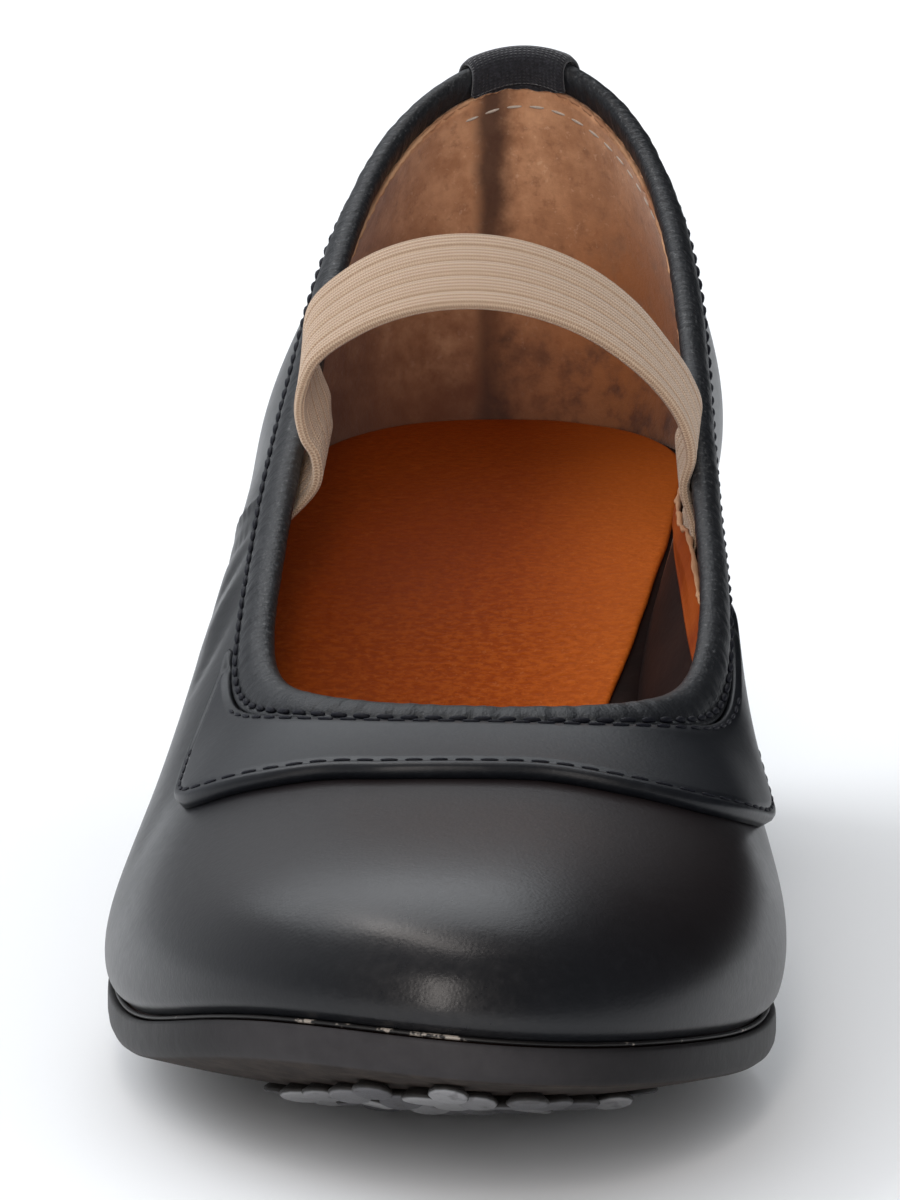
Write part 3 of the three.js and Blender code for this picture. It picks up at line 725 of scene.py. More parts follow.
elastic = elastic_cloth()
tape = black_tape()
black_thread = thread("black_thread", (0.0030, 0.0035, 0.0065), (0.0090, 0.0100, 0.0180), 0.62)
pale_thread = thread("pale_thread", (0.36, 0.29, 0.23), (0.62, 0.54, 0.46), 0.7)
print("cloth and thread:", ", ".join(m.name for m in (elastic, tape, black_thread, pale_thread)))

# %% [markdown]
# ## Sole, heel and nail finishes
# The edge of the sole is waxed and polished, its underside is only stained, so its gloss changes with
# the way the face looks. The nails are steel, each worn to its own brightness.


# %% Sole, heel and nails
def sole_leather():
    """Dense leather: a waxed edge with a paler painted highlight at the toe, and a duller brown-black
    underside with scratches.
    """
    finish = Finish("sole_edge_and_bottom")
    place = finish.place()
    _, _, up = finish.parts(finish.node("NewGeometry", output="Normal"))
    under = 1 - up.step(-0.9, -0.6)
    fibre = finish.noise(place, 420, 5, 0.65)
    scratch = finish.noise(finish.stretched(place, (900, 60, 900)), 1.0, 3)
    shade = finish.blend(fibre.step(0.35, 0.7), (0.020, 0.015, 0.013), (0.046, 0.036, 0.030))
    edge = finish.blend(fibre, (0.0080, 0.0072, 0.0078), (0.0150, 0.0138, 0.0145))
    x, y, _ = finish.parts(place)
    # worn: a painted highlight, a paler patch on the sole's edge at the toe
    worn = x.band(-0.036, -0.012, 0.004, 0.026) * (1 - y.step(-0.106, -0.092))
    edge = finish.blend(worn * (0.35 + 0.5 * fibre), edge, (0.052, 0.048, 0.050))
    return finish.surface(fibre * 0.06 + scratch * under * 0.08, base_color=finish.blend(under, edge, shade),
                          roughness=0.40 + under * 0.22 + fibre * 0.12, specular_ior_level=0.12)


def nail_steel():
    """Worn steel heads with painted shade on their rims, spots of dirt, and each with its own brightness."""
    finish = Finish("worn_steel")
    place = finish.place()
    own = finish.attribute("head_tone")
    rim = finish.attribute("head_rim_shade")
    pits = finish.noise(place, 1500, 5, 0.7)
    dirt = finish.noise(place, 420, 3)
    shade = finish.layers(
        finish.blend(own, (0.12, 0.12, 0.13), (0.40, 0.40, 0.41)),
        (dirt.step(0.52, 0.70) * 0.6, (0.060, 0.057, 0.055)),
        # painted shade: each head's rim goes dark where the gaps between heads lie in shade
        (rim.step(0.15, 0.75), (0.014, 0.012, 0.011)),
    )
    metal = (0.70 - dirt.step(0.5, 0.72) * 0.4) * (1 - rim)
    return finish.surface(pits * 0.12, base_color=shade, metallic=metal, roughness=0.46 + 0.25 * pits)


def matte_rubber():
    finish = Finish("matte_rubber")
    speck = finish.noise(finish.place(), 900, 4)
    shade = finish.blend(speck, (0.012, 0.012, 0.012), (0.026, 0.026, 0.026))
    return finish.surface(speck * 0.06, base_color=shade, roughness=0.75)


def glue_line():
    """The dark gap under the upper, with a few pale glints of dried glue."""
    finish = Finish("glue_line")
    place = finish.place()
    x, y, _ = finish.parts(place)
    toe = (1 - y.step(-0.100, -0.090)) * x.band(-0.018, -0.012, 0.004, 0.010)
    glints = (finish.noise(place, 430, 3, 0.7) + toe * 0.14).step(0.64, 0.72)
    return finish.surface(base_color=finish.blend(glints, (0.007, 0.006, 0.006), (0.30, 0.26, 0.22)),
                          roughness=0.5 - glints * 0.2)


sole_skin = sole_leather()
steel = nail_steel()
rubber = matte_rubber()
glue = glue_line()
print("sole and heel:", ", ".join(m.name for m in (sole_skin, steel, rubber, glue)))

# %% [markdown]
# ## The upper
# The black upper is one sheet of leather pulled over the last and turned under at the sole. It is
# swept from its ribs, finely enough for soft creases to be real relief: a crease is a low ridge or
# trough along a line between two places on the wall. Cloth simulation would crumple it at random,
# and these creases are few and known, so they are placed one by one.

# %% Creases and the outer shell
AROUND = 560
OUTER_STEPS = 92
INNER_STEPS = 16
SHELL = 0.9
TUCK_DEPTH = 0.9
TUCK_HEIGHT = 1.2
CREASE_POINTS = 9
# From (rib, way down from the topline) to (rib, way down), how wide and how high in millimetres
CREASES = [
    ((5.22, 5), (5.56, 17), 1.2, 0.50),
    ((5.04, 5), (5.36, 18), 1.9, -0.40),
    ((4.70, 6), (4.62, 17), 2.6, 0.50),
    ((4.92, 7), (4.96, 18), 1.6, -0.35),
    ((4.40, 8), (4.28, 20), 2.2, -0.35),
    ((13.6, 6), (14.3, 17), 2.2, 0.32),
    ((13.3, 6), (14.0, 20), 2.6, -0.32),
    ((3.10, 24), (2.60, 34), 4.0, -0.25),
    ((15.3, 22), (15.9, 33), 4.0, -0.25),
]


def crease_relief(points):
    """How far creases lift or sink the skin at each point."""
    relief = np.zeros(points.shape[:-1])
    for start, end, width, height in CREASES:
        ribs, drops = np.linspace(start, end, CREASE_POINTS).T
        line = wall_at(ribs, drops[:, None], 0)[:, 0]
        fade = np.sin(np.linspace(0.12, np.pi - 0.12, CREASE_POINTS))
        far = np.linalg.norm(points[..., None, :] - line, axis=-1)
        relief += height * (fade * np.exp(-((far / width) ** 2))).max(-1)
    return relief


def shell_sections(count):
    rib = np.linspace(0, LOOP, count, endpoint=False)[:, None]
    outer_rise = np.linspace(0, 1, OUTER_STEPS) ** 1.15
    inner_rise = np.linspace(1, 0, INNER_STEPS)
    outer = wall_point(rib, outer_rise)
    height = np.linalg.norm(outer - outer[:, :1], axis=-1)
    stand = crease_relief(outer) - TUCK_DEPTH * np.exp(-((height / TUCK_HEIGHT) ** 2))
    outer = outer + wall_normal(rib, outer_rise) * stand[..., None]
    inner = wall_point(rib, inner_rise) - wall_normal(rib, inner_rise) * SHELL
    inner[:, -1] = outer[:, 0] - outward(foot_point, rib[:, 0]) * SHELL * 0.4
    return np.concatenate([outer, inner], 1)


upper = sweep("upper_leather_shell", shell_sections(AROUND), upper_leather, ring=True)
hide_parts("upper")

# %% [markdown]
# ## Linings
# Three linings cover the inside of the wall, each a thin slab between two ribs: dark at the vamp,
# orange at the quarters and suede round the heel. A slab is a sweep whose section runs down one face
# and back up the other, so that every raw edge has its real thickness.

# %% Linings
LINING_OUT = -0.95
LINING_IN = -WALL
LINING_TOP = 2.6
VAMP_LINING_END = 5.7
HEEL_LINING_RIBS = (5.6, 12.25)


def wall_slab(name, ribs, high_rise, low_rise, out, into, material, steps=40):
    """A slab on the wall between two ribs, from one rise to another, between two stands."""
    share = np.linspace(0, 1, steps)
    rise = np.broadcast_to(high_rise + (low_rise - high_rise) * share, (len(ribs), steps))
    across = ribs[:, None] + 0 * rise
    skin, normal = wall_point(across, rise), wall_normal(across, rise)
    out, into = (np.broadcast_to(stand, rise.shape)[..., None] for stand in (out, into))
    back = (skin + normal * out)[:, ::-1]
    return sweep(name, np.concatenate([skin + normal * into, back], 1), material)


def rises(ribs, drops):
    return rise_at_drop(ribs, np.broadcast_to(np.reshape(drops, (-1, 1)), (len(ribs), 1)))


def edge_cord(name, ribs, drops, stands, radius, material):
    """The raw edge of a lining: a thin uneven cord along it."""
    centre = wall_at(ribs, drops[:, None], np.broadcast_to(stands, len(ribs))[:, None])[:, 0]
    rise = rises(ribs, drops)[:, 0]
    up, out = wall_up(ribs, rise), wall_normal(ribs, rise)
    run = np.arange(len(ribs))
    size = radius * (1 + 0.25 * np.sin(run * 0.61) + 0.2 * np.sin(run * 1.37 + 2))
    angles = np.arange(8) * np.pi / 4
    ring = [centre + (up * np.sin(a) * 0.8 + out * np.cos(a)) * size[:, None] for a in angles]
    return sweep(name, np.stack(ring, 1), material)


front_ribs = np.linspace(-VAMP_LINING_END, VAMP_LINING_END, 300)
wall_slab("dark_lining", front_ribs, rises(front_ribs, LINING_TOP), 0.0, LINING_OUT, LINING_IN + 0.1,
          vamp_lining_skin)
first_rib, last_rib = HEEL_LINING_RIBS
heel_ribs = np.linspace(first_rib, last_rib, 220)
thinned = smooth_step(heel_ribs, first_rib, 6.0) * (1 - smooth_step(heel_ribs, 11.85, last_rib))
wall_slab("heel_lining", heel_ribs, rises(heel_ribs, LINING_TOP), 0.0, LINING_OUT - 0.1,
          LINING_IN + 0.02 - 0.57 * thinned[:, None], suede)
edge_cord("heel_lining_edge", np.linspace(5.9, 12.0, 400), np.full(400, 2.7), LINING_IN - 0.35, 0.32,
          raw_edge)

# %% [markdown]
# ## Facings
# The strap's ends are sewn to the quarters and covered by strips of orange leather, whose raw top
# edges show pale and bulge over the strap. Each strip is one more slab, with a thin cord as its edge.

# %% Facings
# Rib, top edge and lower edge as ways down, and how far the strap's end lifts it
INNER_FACING = [
    [11.9, 12.2, 15.4, 0.0], [12.2, 12.5, 15.4, 0.2], [12.4, 12.0, 15.4, 0.45], [12.67, 10.6, 15.0, 0.5],
    [12.88, 7.8, 15.0, 0.5], [13.00, 6.4, 15.2, 0.5], [13.12, 7.6, 15.6, 0.25], [13.3, 9.2, 16.3, 0.05],
    [13.6, 7.6, 17.2, 0.0], [14.2, 6.0, 16.8, 0.0], [15.0, 5.0, 15.0, 0.0],
]
OUTER_FACING = [
    [6.1, 12.0, 15.8, 0.0], [5.8, 12.4, 15.6, 0.4], [5.6, 12.0, 15.4, 0.9], [5.33, 10.8, 15.2, 1.0],
    [5.10, 8.2, 15.4, 1.0], [4.95, 7.0, 15.6, 0.95], [4.8, 7.4, 16.0, 0.4], [4.6, 7.0, 16.4, 0.2],
    [4.3, 6.4, 17.0, 0.0], [3.8, 5.8, 17.2, 0.0], [3.0, 5.0, 15.6, 0.0],
]
FACING_THICKNESS = 0.5
FACING_POINTS = 160
FACING_STEPS = 30
SMOOTHING = 9


def facing(side, rows):
    """A strip of orange leather along the topline, over the strap's end, with a pale raw edge."""
    ribs, top, low, lift = np.array(rows).T
    fine = np.linspace(ribs[0], ribs[-1], FACING_POINTS)
    order = np.argsort(ribs)
    columns = (np.interp(fine, ribs[order], column[order]) for column in (top, low, lift))
    top, low, lift = (moving_mean(column, SMOOTHING) for column in columns)
    place = np.arange(FACING_POINTS)
    top = top + 0.18 * np.sin(place * 0.9) + 0.12 * np.sin(place * 0.37)
    share = np.linspace(0, 1, FACING_STEPS)
    raised = LINING_IN - 0.05 - lift[:, None] * (1 - smooth_step(share, 0.5, 0.95)) * 1.4
    wall_slab(side + "_facing", fine, rises(fine, top), rises(fine, low), raised,
              raised - FACING_THICKNESS, orange_lining, FACING_STEPS)
    edge_cord(side + "_facing_edge", fine, top, raised[:, 0] - FACING_THICKNESS * 0.55, 0.36, raw_edge)


facing("inner", INNER_FACING)
facing("outer", OUTER_FACING)

# %% [markdown]
# ## Throat overlay
# A second band of thick leather frames the opening. Its shape is one more short table, the way that it
# reaches down the wall, and its lower edge is cut and left raw. The section is a flat slab with
# slightly eased corners, and a shallow trough where the stitches pull it down.

# %% Throat overlay
THROAT_BAND = [
    [-4.30, 0.120], [-4.00, 0.165], [-3.60, 0.260], [-3.25, 0.370], [-3.05, 0.435], [-2.75, 0.460],
    [-2.30, 0.475], [-1.70, 0.515], [-1.20, 0.480], [-0.60, 0.435], [0.00, 0.440], [0.70, 0.440],
    [1.15, 0.425], [1.60, 0.450], [2.05, 0.475], [2.32, 0.450], [2.55, 0.375], [3.05, 0.240],
    [3.43, 0.145], [3.64, 0.120],
]
STITCH_INSIDE_EDGE = 2.0


def band_reach(rib):
    """How far the throat band reaches down the wall."""
    ribs, reach = np.array(THROAT_BAND).T
    slope = np.gradient(reach, ribs)
    slope[1:-1] = (reach[2:] - reach[:-2]) / (ribs[2:] - ribs[:-2])
    at = np.clip(np.searchsorted(ribs, rib), 1, len(ribs) - 1)
    span = ribs[at] - ribs[at - 1]
    u = (np.clip(rib, ribs[0], ribs[-1]) - ribs[at - 1]) / span
    steep = slope[at - 1] * u * (1 - u) ** 2 * span + slope[at] * u * u * (u - 1) * span
    level = reach[at - 1] * (1 + 2 * u) * (1 - u) ** 2 + reach[at] * u * u * (3 - 2 * u)
    return COLLAR_HEIGHT * (level + steep)


def overlay_sections(ribs):
    top = BINDING_OUTER_LEG + CLEARANCE
    depth = band_reach(ribs)[:, None] - top
    share = np.concatenate([[0, 0.02], np.linspace(0.05, 1, 34) ** 0.8])
    down = depth * share
    from_edge = depth - down
    eased = 1 - 0.35 * np.exp(-((from_edge / 0.35) ** 2)) - 0.3 * np.exp(-((down / 0.5) ** 2))
    trough = 0.22 * np.exp(-(((from_edge - STITCH_INSIDE_EDGE) / 0.55) ** 2))
    high = CLEARANCE + OVERLAY_THICKNESS * eased - trough
    low = np.full_like(high, CLEARANCE * 0.3)
    front = wall_at(ribs, top + down, high)
    back = wall_at(ribs, top + down, low)[:, ::-1]
    return np.concatenate([front, back], 1)


overlay_ribs = np.linspace(THROAT_BAND[0][0], THROAT_BAND[-1][0], 300)
overlay = sweep("throat_overlay_leather", overlay_sections(overlay_ribs), overlay_leather)
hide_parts("throat_overlay")

# %% [markdown]
# ## Topline binding
# A soft strip is folded over the top edge and sewn down, so it is fat in the middle, pinched at the
# stitches and puckered between them. The section is drawn once as a list of places round the edge,
# and it breathes in and out with the stitch pitch as it runs along the topline.

# %% Topline binding
STITCH_PITCH = 2.9
STITCH_DROP = 3.9
TOPLINE_POINTS = 720
# How far down from the topline, and how far off the outer face
BINDING_SECTION = [
    [5.00, 0.34], [5.00, 0.80], [4.90, 1.02], [4.65, 1.14], [4.35, 1.10], [4.10, 0.98], [3.90, 0.92],
    [3.70, 0.97], [3.45, 1.10], [3.10, 1.24], [2.60, 1.36], [2.00, 1.42], [1.40, 1.42], [0.80, 1.36],
    [0.25, 1.22], [-0.25, 0.98], [-0.70, 0.66], [-1.02, 0.26], [-1.22, -0.16], [-1.28, -0.60],
    [-1.18, -1.02], [-0.94, -1.36], [-0.60, -1.57], [-0.15, -1.70], [0.40, -1.76], [1.00, -1.76],
    [1.60, -1.72], [2.10, -1.66], [2.40, -1.58], [2.50, -1.42], [2.50, -1.15], [1.60, -1.08],
    [0.60, -1.06], [-0.30, -1.05], [-0.42, -0.60], [-0.42, 0.00], [-0.30, 0.34], [0.80, 0.30],
    [2.20, 0.30], [3.60, 0.30],
]


def binding_sections(ribs):
    run = length_along(top_point(ribs))[:, None]
    drop, stand = np.array(BINDING_SECTION).T
    pinch = np.exp(-(((drop - STITCH_DROP) / 0.8) ** 2)) * (stand > 0.5)
    body = np.exp(-(((drop - 1.2) / 2.2) ** 2)) * (np.abs(stand + 0.4) > 0.9)
    pucker = 0.10 * np.cos(2 * np.pi * run / STITCH_PITCH) * (pinch + 0.5 * body)
    uneven = 0.05 * np.sin(run * 0.31) + 0.04 * np.sin(run * 0.83 + 1.0) + 0.03 * np.sin(run * 2.9 + 2.0)
    return wall_at(ribs, drop + 0 * run, stand + pucker + uneven * body * np.sign(stand))


topline_ribs = np.linspace(0, LOOP, TOPLINE_POINTS, endpoint=False)
binding = sweep("topline_binding_leather", binding_sections(topline_ribs), binding_leather,
                ring=True)
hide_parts("topline_binding")

# %% [markdown]
# ## What repeats
# Stitches and nails are the same small thing again and again, which is what Geometry Nodes do best.
# A short class adds their nodes, since both trees need chance, a direction to face and the same end:
# Realize Instances makes the instances real faces, because only those are exported.


# %% Trees for what repeats
class Nodes:
    """A Geometry Nodes tree with a geometry input, named sizes and a geometry output."""

    def __init__(self, name, **sizes):
        self.tree = bpy.data.node_groups.new(name, "GeometryNodeTree")
        for size, kind in {"Geometry": "Geometry", **sizes}.items():
            self.tree.interface.new_socket(size, in_out="INPUT", socket_type="NodeSocket" + kind)
        self.tree.interface.new_socket("Geometry", in_out="OUTPUT", socket_type="NodeSocketGeometry")
        self.given = self.tree.nodes.new("NodeGroupInput").outputs

    def add(self, kind, settings=None, inputs=None, output=0):
        """Adds a node: its settings, then the values or links of its sockets. Gives one output."""
        made = self.tree.nodes.new(kind)
        for key, value in (settings or {}).items():
            setattr(made, key, value)
        for key, value in (inputs or {}).items():
            if isinstance(value, bpy.types.NodeSocket):
                self.tree.links.new(value, made.inputs[key])
            else:
                made.inputs[key].default_value = value
        return made.outputs[output] if made.outputs else None

    def chance(self, **values):
        """A random number for each point."""
        return self.add("FunctionNodeRandomValue", {"data_type": "FLOAT"}, values, "Value")

    def facing(self):
        return self.add("GeometryNodeInputNamedAttribute", {"data_type": "FLOAT_VECTOR"}, {"Name": "face"})

    def askew(self, turn, **angles):
        """A turn with small angles added about its own axes."""
        angles = self.add("ShaderNodeCombineXYZ", inputs=angles)
        added = self.add("FunctionNodeEulerToRotation", inputs={0: angles})
        return self.add("FunctionNodeRotateRotation", {"rotation_space": "LOCAL"},
                        {"Rotation": turn, "Rotate By": added})

    def end(self, instances, material):
        """Makes instances real faces of one material, as the tree's result."""
        real = self.add("GeometryNodeRealizeInstances", inputs={"Geometry": instances})
        done = self.add("GeometryNodeSetMaterial", inputs={0: real, "Material": material})
        self.add("NodeGroupOutput", inputs={0: done})
        return self.tree


# %% [markdown]
# ## Stitches
# A stitch is a bead of thread. The tree turns a line into a curve, cuts it at the stitch pitch and
# sets one bead on each point, turned along the line and away from the leather.


# %% Stitch rows
def stitch_tree():
    nodes = Nodes("stitch_row", Pitch="Float", Length="Float", Width="Float", Height="Float",
                  Thread="Material")
    given = nodes.given
    curve = nodes.add("GeometryNodeMeshToCurve", inputs={"Mesh": given["Geometry"]})
    cut = nodes.add("GeometryNodeResampleCurve", {"mode": "LENGTH"},
                    {"Curve": curve, "Length": given["Pitch"]})
    along = nodes.add("GeometryNodeInputTangent")
    turn = nodes.add("FunctionNodeAxesToRotation", {"primary_axis": "X", "secondary_axis": "Z"},
                     {"Primary Axis": along, "Secondary Axis": nodes.facing()})
    turn = nodes.askew(turn, Z=nodes.chance(Min=-0.06, Max=0.06, Seed=5))
    size = nodes.add("ShaderNodeCombineXYZ",
                     inputs={"X": given["Length"], "Y": given["Width"], "Z": given["Height"]})
    bead = nodes.add("GeometryNodeMeshUVSphere", inputs={"Segments": 6, "Rings": 5, "Radius": 0.5})
    laid = nodes.add("GeometryNodeTransform", inputs={"Geometry": bead, "Rotation": (0, np.pi / 2, 0)})
    sized = nodes.add("GeometryNodeTransform", inputs={"Geometry": laid, "Scale": size})
    row = nodes.add("GeometryNodeInstanceOnPoints",
                    inputs={"Points": cut, "Instance": sized, "Rotation": turn})
    return nodes.end(row, given["Thread"])


STITCHES = stitch_tree()


def add_nodes(made, tree, **values):
    """Puts a tree on a piece and sets its inputs by their identifiers."""
    modifier = made.modifiers.new(tree.name, "NODES")
    modifier.node_group = tree
    for socket in tree.interface.items_tree:
        if socket.in_out == "INPUT" and socket.name in values:
            modifier[socket.identifier] = values[socket.name]
    return plain(made)


def points_piece(name, points, edges, **vectors):
    """A bare mesh of points, given in millimetres, and edges, with named vectors on the points."""
    mesh = bpy.data.meshes.new(name)
    mesh.from_pydata((points * MM).tolist(), edges, [])
    for key, value in vectors.items():
        mesh.attributes.new(key, "FLOAT_VECTOR", "POINT").data.foreach_set("vector", value.ravel())
    return in_scene(name, mesh)


def stitch_row(name, ribs, drops, stand, thread_finish, closed=False,
               length=2.2, width=0.55, height=0.42, inside=False):
    """A row of stitches on the wall, along a line of ribs and ways down."""
    drops, stand = drops + 0 * ribs, stand + 0 * ribs
    line = wall_at(ribs, drops[:, None], stand[:, None])[:, 0]
    face = wall_normal(ribs, rise_at_drop(ribs, drops[:, None])[:, 0]) * (-1 if inside else 1)
    edges = [(i, i + 1) for i in range(len(ribs) - 1)] + ([(len(ribs) - 1, 0)] if closed else [])
    made = points_piece(name, line, edges, face=face)
    add_nodes(made, STITCHES, Pitch=STITCH_PITCH * MM, Length=length * MM, Width=width * MM,
              Height=height * MM, Thread=thread_finish)
    return finished(made)


stitch_row("binding_stitches", topline_ribs, STITCH_DROP, 1.18, black_thread, closed=True,
           width=0.90, height=0.80)
edge_ribs = np.linspace(-3.35, 2.75, 400)
edge_drop = band_reach(edge_ribs) - STITCH_INSIDE_EDGE
stitch_row("overlay_edge_stitches", edge_ribs, edge_drop, CLEARANCE + OVERLAY_THICKNESS - 0.1,
           black_thread)
inner_row_ribs = np.linspace(-3.2, 2.6, 360)
stitch_row("overlay_top_stitches", inner_row_ribs, BINDING_OUTER_LEG + CLEARANCE + 0.9,
           CLEARANCE + OVERLAY_THICKNESS - 0.06, black_thread)
suede_ribs = np.linspace(8.55, 10.9, 200)
stitch_row("heel_lining_stitches", suede_ribs, 5.4, LINING_IN - 0.56, pale_thread,
           length=2.1, width=0.42, height=0.30, inside=True)

# %% [markdown]
# ## Back tab
# A short piece of black tape is folded over the binding at the middle of the back. It is one more
# sweep, across the back this time, over the same wall. Inside, its sewn end shows as a dark, slightly
# uneven pad on the lining.

# %% Back tab
TAB_WIDTH = 14
TAB_THICKNESS = 0.8
TAB_POINTS = 60
# Down and off the wall for the tape's inner face, then how the outer face moves from it
TAB_SECTION = [
    [12.0, 0.30, 0.0, 1.0], [9.0, 0.30, 0.0, 1.0], [6.6, 0.40, 0.1, 1.0], [5.6, 0.80, 0.2, 0.9],
    [4.6, 1.55, 0.0, 0.9], [3.0, 1.88, 0.0, 1.0], [1.3, 1.84, 0.0, 1.0], [0.0, 1.60, -0.25, 0.95],
    [-1.0, 1.05, -0.65, 0.60], [-1.55, 0.25, -0.90, 0.25], [-1.75, -0.60, -1.0, 0.0],
    [-1.50, -1.40, -0.80, -0.45], [-0.95, -1.90, -0.55, -0.75], [0.0, -2.08, -0.2, -0.95],
    [1.0, -2.12, 0.0, -1.0], [1.9, -2.10, 0.0, -1.0],
]


rib_spacing = np.linalg.norm(top_point(BACK_RIB - 0.5) - top_point(BACK_RIB + 0.5))
tab_half = TAB_WIDTH / 2 / rib_spacing
print("tab half width:", round(float(tab_half), 3), "ribs")


def tab_sections(count):
    profile = smooth_table(TAB_SECTION, False)(np.linspace(0, len(TAB_SECTION) - 1, TAB_POINTS))
    drop, stand, moves, lifts = profile.T
    ribs = BACK_RIB + np.linspace(-tab_half, tab_half, count)
    edge = 1 - 0.45 * np.exp(-((np.abs(np.linspace(-1, 1, count)) - 1) / 0.06) ** 2)[:, None]
    ripple = 0.10 * np.sin(np.linspace(0, 9, count))[:, None] * np.sin(np.linspace(0, 14, TAB_POINTS))
    over_drop = drop + moves * TAB_THICKNESS * edge
    over_stand = stand + lifts * TAB_THICKNESS * edge + ripple * np.sign(lifts + 1e-9)
    inner = wall_at(ribs, drop, stand)
    outer = wall_at(ribs, over_drop, over_stand)
    return np.concatenate([inner, outer[:, ::-1]], 1)


tab = sweep("back_tab_tape", tab_sections(count=41), tape)
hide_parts("back_tab")
pad_ribs = BACK_RIB + np.linspace(-0.94, 0.94, 90) * tab_half
pad_low = 2.9 + 0.18 * np.sin(pad_ribs * 9) + 0.10 * np.sin(pad_ribs * 31)
pad_low = pad_low - 0.9 * ((pad_ribs - BACK_RIB) / tab_half) ** 2
wall_slab("back_tab_pad", pad_ribs, rises(pad_ribs, 0.3), rises(pad_ribs, pad_low), -1.80, -2.40,
          tape, 24)

# %% [markdown]
# ## Elastic strap
# The strap runs from inside one quarter, over the instep and down inside the other. Its two edges are
# separate curves through the same places as in the CAD, and the band is stretched between them. Four
# grooves divide it into woven ribs, and they are real relief, because they show in outline.

# %% Elastic strap
STRAP_THICKNESS = 1.4
STRAP_ARCH = 24
STRAP_GROOVES = [0.18, 0.40, 0.61, 0.80]
GROOVE_WIDTH = 0.34
GROOVE_DEPTH = 0.26
EDGE_ROUND = 0.7
EDGE_CROWDING = 0.35
# Rib on the outer side, rib on the inner side, and the columns of the next table
STRAP_FRONT = (5.05, 12.95, 0, 1)
STRAP_REAR = (5.5, 12.5, 2, 3)
# Columns: front across, front high, rear across, rear high
STRAP = np.array([
    [0.000, 0.12, 0.000, 0.09], [-0.030, 0.22, 0.000, 0.17], [-0.045, 0.36, -0.025, 0.29],
    [-0.035, 0.48, -0.050, 0.45], [0.000, 0.62, -0.035, 0.65], [0.118, 0.78, 0.059, 0.82],
    [0.252, 0.88, 0.196, 0.95], [0.393, 0.92, 0.373, 1.01], [0.550, 0.90, 0.550, 0.98],
    [0.727, 0.79, 0.727, 0.86], [0.866, 0.62, 0.864, 0.68], [0.958, 0.45, 0.965, 0.46],
    [1.006, 0.30, 1.028, 0.29], [1.026, 0.14, 1.058, 0.12],
])
# The legs under the topline: way down from it, and how far the band's middle stands off the wall
OUTER_LEG = np.array([[13.0, -2.05], [6.5, -2.6], [-1.6, -3.5]])
INNER_LEG = np.array([[-0.2, -2.62], [6.5, -2.05], [13.0, -1.75]])
INNER_HINGE = [-1.6, -2.6]


def centripetal(points, shares):
    """The smooth curve through points that keeps its bends even where they lie close together."""
    points = np.array([2 * points[0] - points[1], *points, 2 * points[-1] - points[-2]])
    place = np.clip(shares, 0, 1) * (len(points) - 3)
    start = np.minimum(place.astype(int), len(points) - 4)
    u = (place - start)[:, None]
    p0, p1, p2, p3 = (points[start + k] for k in range(4))
    pairs = ((p0, p1), (p1, p2), (p2, p3))
    gap0, gap1, gap2 = (np.sqrt(np.linalg.norm(b - a, axis=1))[:, None] for a, b in pairs)
    slope1 = ((p1 - p0) / gap0 - (p2 - p0) / (gap0 + gap1) + (p2 - p1) / gap1) * gap1
    slope2 = ((p2 - p1) / gap1 - (p3 - p1) / (gap1 + gap2) + (p3 - p2) / gap2) * gap1
    return (p1 + slope1 * u + (3 * (p2 - p1) - 2 * slope1 - slope2) * u**2
            + (2 * (p1 - p2) + slope1 + slope2) * u**3)


def strap_edge(outer_rib, inner_rib, across, high, shares):
    base = (top_point(outer_rib)[2] + top_point(inner_rib)[2]) / 2
    outer_leg = wall_at(np.array([outer_rib]), *OUTER_LEG.T)[0]
    inner_leg = wall_at(np.array([inner_rib]), *INNER_LEG.T)[0]
    hinge = wall_at(np.array([inner_rib]), *np.array([INNER_HINGE]).T)[0, 0]
    arch = outer_leg[2] + (hinge - outer_leg[2]) * STRAP[:, across, None]
    arch[:, 2] = base + STRAP[:, high] * STRAP_ARCH
    return centripetal(np.concatenate([outer_leg, arch, inner_leg]), shares)


def strap_sections(count, columns):
    shares = np.linspace(0, 1, count)
    front, rear = (strap_edge(*edge, shares) for edge in (STRAP_FRONT, STRAP_REAR))
    step = 0.004
    ahead, behind = (strap_edge(*STRAP_FRONT, shares + s) + strap_edge(*STRAP_REAR, shares + s)
                     for s in (step, -step))
    face = unit(np.cross(unit(ahead - behind), rear - front))
    across = 0.5 - 0.5 * np.cos(np.linspace(0, np.pi, columns))
    across = EDGE_CROWDING * across + (1 - EDGE_CROWDING) * np.linspace(0, 1, columns)
    width = np.linalg.norm(rear - front, axis=1).mean()
    from_edge = np.minimum(across, 1 - across) * width
    rounded = (1 - from_edge / EDGE_ROUND) ** 2 * (from_edge < EDGE_ROUND)
    half = STRAP_THICKNESS / 2 * np.sqrt(np.clip(1 - rounded, 0.2, 1))
    grooves = sum(np.exp(-(((across - g) * width / GROOVE_WIDTH) ** 2)) for g in STRAP_GROOVES)
    half = half - GROOVE_DEPTH * grooves
    sewn = 0.55 + 0.45 * smooth_step(np.minimum(shares, 1 - shares), 0.02, 0.13)[:, None]
    line = front[:, None] + (rear - front)[:, None] * across[:, None]
    over = line + face[:, None] * (half * sewn)[..., None]
    under = line - face[:, None] * (half * sewn)[..., None]
    return np.concatenate([over, under[:, ::-1]], 1)


strap = sweep("elastic_strap_band", strap_sections(count=300, columns=68), elastic)
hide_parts("elastic_strap")

# %% [markdown]
# ## Sole and insole
# Both are plates over the same outline, the line where the upper meets the sole. Rows run across the
# foot, and a rim of a few rings rounds the edge. Solidify and Bevel could do this to a flat outline,
# but the plate also has to follow the arch, the toe spring and the camber of the forepart.


